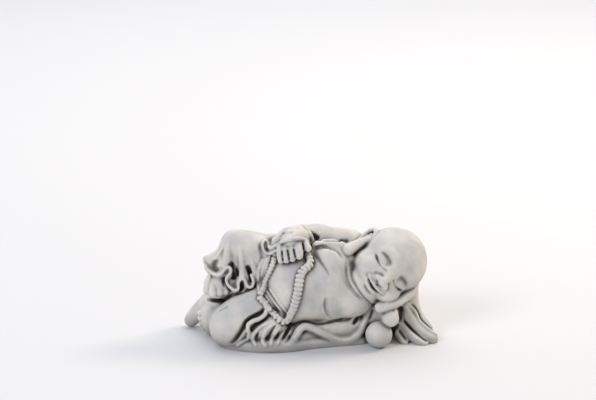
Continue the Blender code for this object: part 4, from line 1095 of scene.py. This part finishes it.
class GARDEN_OT_cast_buddha(bpy.types.Operator):
    """Shape the reclining figure and cast it in concrete"""

    bl_idname = "garden.cast_buddha"
    bl_label = "Cast the figure"

    def execute(self, context):
        settings = context.scene.casting
        low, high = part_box(SOLID)
        clay = statue(settings.grain)
        hollow, ridge = hollows_and_ridges(clay, settings.grain)
        mesh, points = casting_mesh(clay, low, high, settings.most_triangles)
        # Darker low down: full on walls and none on slopes that face up, so that the darkening has no edge.
        steepness = np.clip(1.6 - 2 * clay.normals[:, 2], 0, 1)
        near_ground = np.clip(1 - clay.points[:, 2] / LOW_DARKENING_HEIGHT, 0, 1) * steepness
        carry_over(mesh, points, {"hollow": hollow, "worn": ridge, "low": near_ground})
        mesh.shade_smooth()
        mesh.set_sharp_from_angle(angle=math.radians(SHARP_EDGE))
        mesh.materials.clear()
        mesh.materials.append(cast_concrete(settings))
        casting = bpy.data.objects.new(CASTING, mesh)
        context.scene.collection.objects.link(casting)
        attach(casting, BODY)
        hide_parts(SOLID)
        return {"FINISHED"}


def soft_light(name, place, aim, width, power, colour):
    """A square light that faces its aim. Places and width are in metres, and power in watts."""
    lamp = bpy.data.lights.new(name, "AREA")
    lamp.shape = "SQUARE"
    lamp.size = width
    lamp.energy = power
    lamp.color = linear(colour)
    light = bpy.data.objects.new(name, lamp)
    light.location = place
    light.rotation_euler = (Vector(aim) - Vector(place)).to_track_quat("-Z", "Y").to_euler()
    bpy.context.scene.collection.objects.link(light)


class GARDEN_OT_lay_stage(bpy.types.Operator):
    """Lay a pale floor, light it softly and set up the camera"""

    bl_idname = "garden.lay_stage"
    bl_label = "Lay the stage"

    def execute(self, context):
        scene = context.scene
        settings = scene.statue_stage
        self.lay_floor(scene, settings)
        soft_light("ceiling", (0, 2.2, 2.7), (0, 2.2, 0), 4.0, settings.top_light, "#fdfdff")
        soft_light("warm_window", (2.2, 0.8, 1.9), (0, 0, 0.05), 0.9, settings.warm_light, "#ffedd2")
        soft_light("cool_window", (-1.9, -2.2, 2.0), (0, 0, 0.05), 1.2, settings.cool_light, "#e7edfb")
        world = bpy.data.worlds.new("Studio")
        world.use_nodes = True
        sky = world.node_tree.nodes["Background"]
        sky.inputs["Color"].default_value = (*linear("#f8f9fd"), 1)
        sky.inputs["Strength"].default_value = settings.sky_light
        scene.world = world
        scene.view_settings.view_transform = "Standard"
        self.set_camera(scene)
        return {"FINISHED"}

    def lay_floor(self, scene, settings):
        mesh = bpy.data.meshes.new("floor")
        sheet = bmesh.new()
        bmesh.ops.create_grid(sheet, x_segments=1, y_segments=1, size=FLOOR_REACH)
        sheet.to_mesh(mesh)
        sheet.free()
        floor = bpy.data.objects.new("floor", mesh)
        floor.location.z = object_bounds()[0].z
        # A matt, even, pale sheet without a visible edge, so that only the shadow shows where the floor is.
        paper = bpy.data.materials.new("Studio paper")
        paper.use_nodes = True
        shader = paper.node_tree.nodes["Principled BSDF"]
        shader.inputs["Base Color"].default_value = (*settings.floor, 1)
        shader.inputs["Roughness"].default_value = 0.9
        mesh.materials.append(paper)
        scene.collection.objects.link(floor)
        floor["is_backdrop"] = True

    def set_camera(self, scene):
        low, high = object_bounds()
        middle = (low + high) / 2
        aim = Vector((middle.x + FIGURE_MIDDLE[0], middle.y + FIGURE_MIDDLE[1], low.z + AIM_HEIGHT))
        lens = bpy.data.cameras.new("Camera")
        lens.lens = LENS
        lens.shift_x = -AIM_RIGHT / PHOTO_WIDTH
        lens.shift_y = AIM_DOWN / PHOTO_WIDTH
        camera = bpy.data.objects.new("Camera", lens)
        lean = math.radians(VIEW_LEAN)
        camera.location = aim + CAMERA_DISTANCE * Vector((0, -math.cos(lean), math.sin(lean)))
        camera.rotation_euler = (math.pi / 2 - lean, 0, 0)
        scene.collection.objects.link(camera)
        scene.camera = camera


class GARDEN_PT_statue(bpy.types.Panel):
    bl_idname = "GARDEN_PT_statue"
    bl_label = "Garden statue"
    bl_space_type = "VIEW_3D"
    bl_region_type = "UI"
    bl_category = "Garden statue"

    def draw(self, context):
        for heading, settings, operator in (
            ("Casting", context.scene.casting, GARDEN_OT_cast_buddha),
            ("Stage", context.scene.statue_stage, GARDEN_OT_lay_stage),
        ):
            box = self.layout.box()
            box.label(text=heading)
            for name in settings.bl_rna.properties.keys():
                if name not in ("rna_type", "name"):
                    box.prop(settings, name)
            box.operator(operator.bl_idname)


CLASSES = (CastingSettings, StageSettings, GARDEN_OT_cast_buddha, GARDEN_OT_lay_stage, GARDEN_PT_statue)


def register():
    for item in CLASSES:
        bpy.utils.register_class(item)
    bpy.types.Scene.casting = PointerProperty(type=CastingSettings)
    bpy.types.Scene.statue_stage = PointerProperty(type=StageSettings)


def unregister():
    del bpy.types.Scene.casting
    del bpy.types.Scene.statue_stage
    for item in reversed(CLASSES):
        bpy.utils.unregister_class(item)


def main():
    register()
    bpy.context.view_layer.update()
    bpy.ops.garden.cast_buddha()
    bpy.ops.garden.lay_stage()
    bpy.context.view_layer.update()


if __name__ == "__main__":
    main()
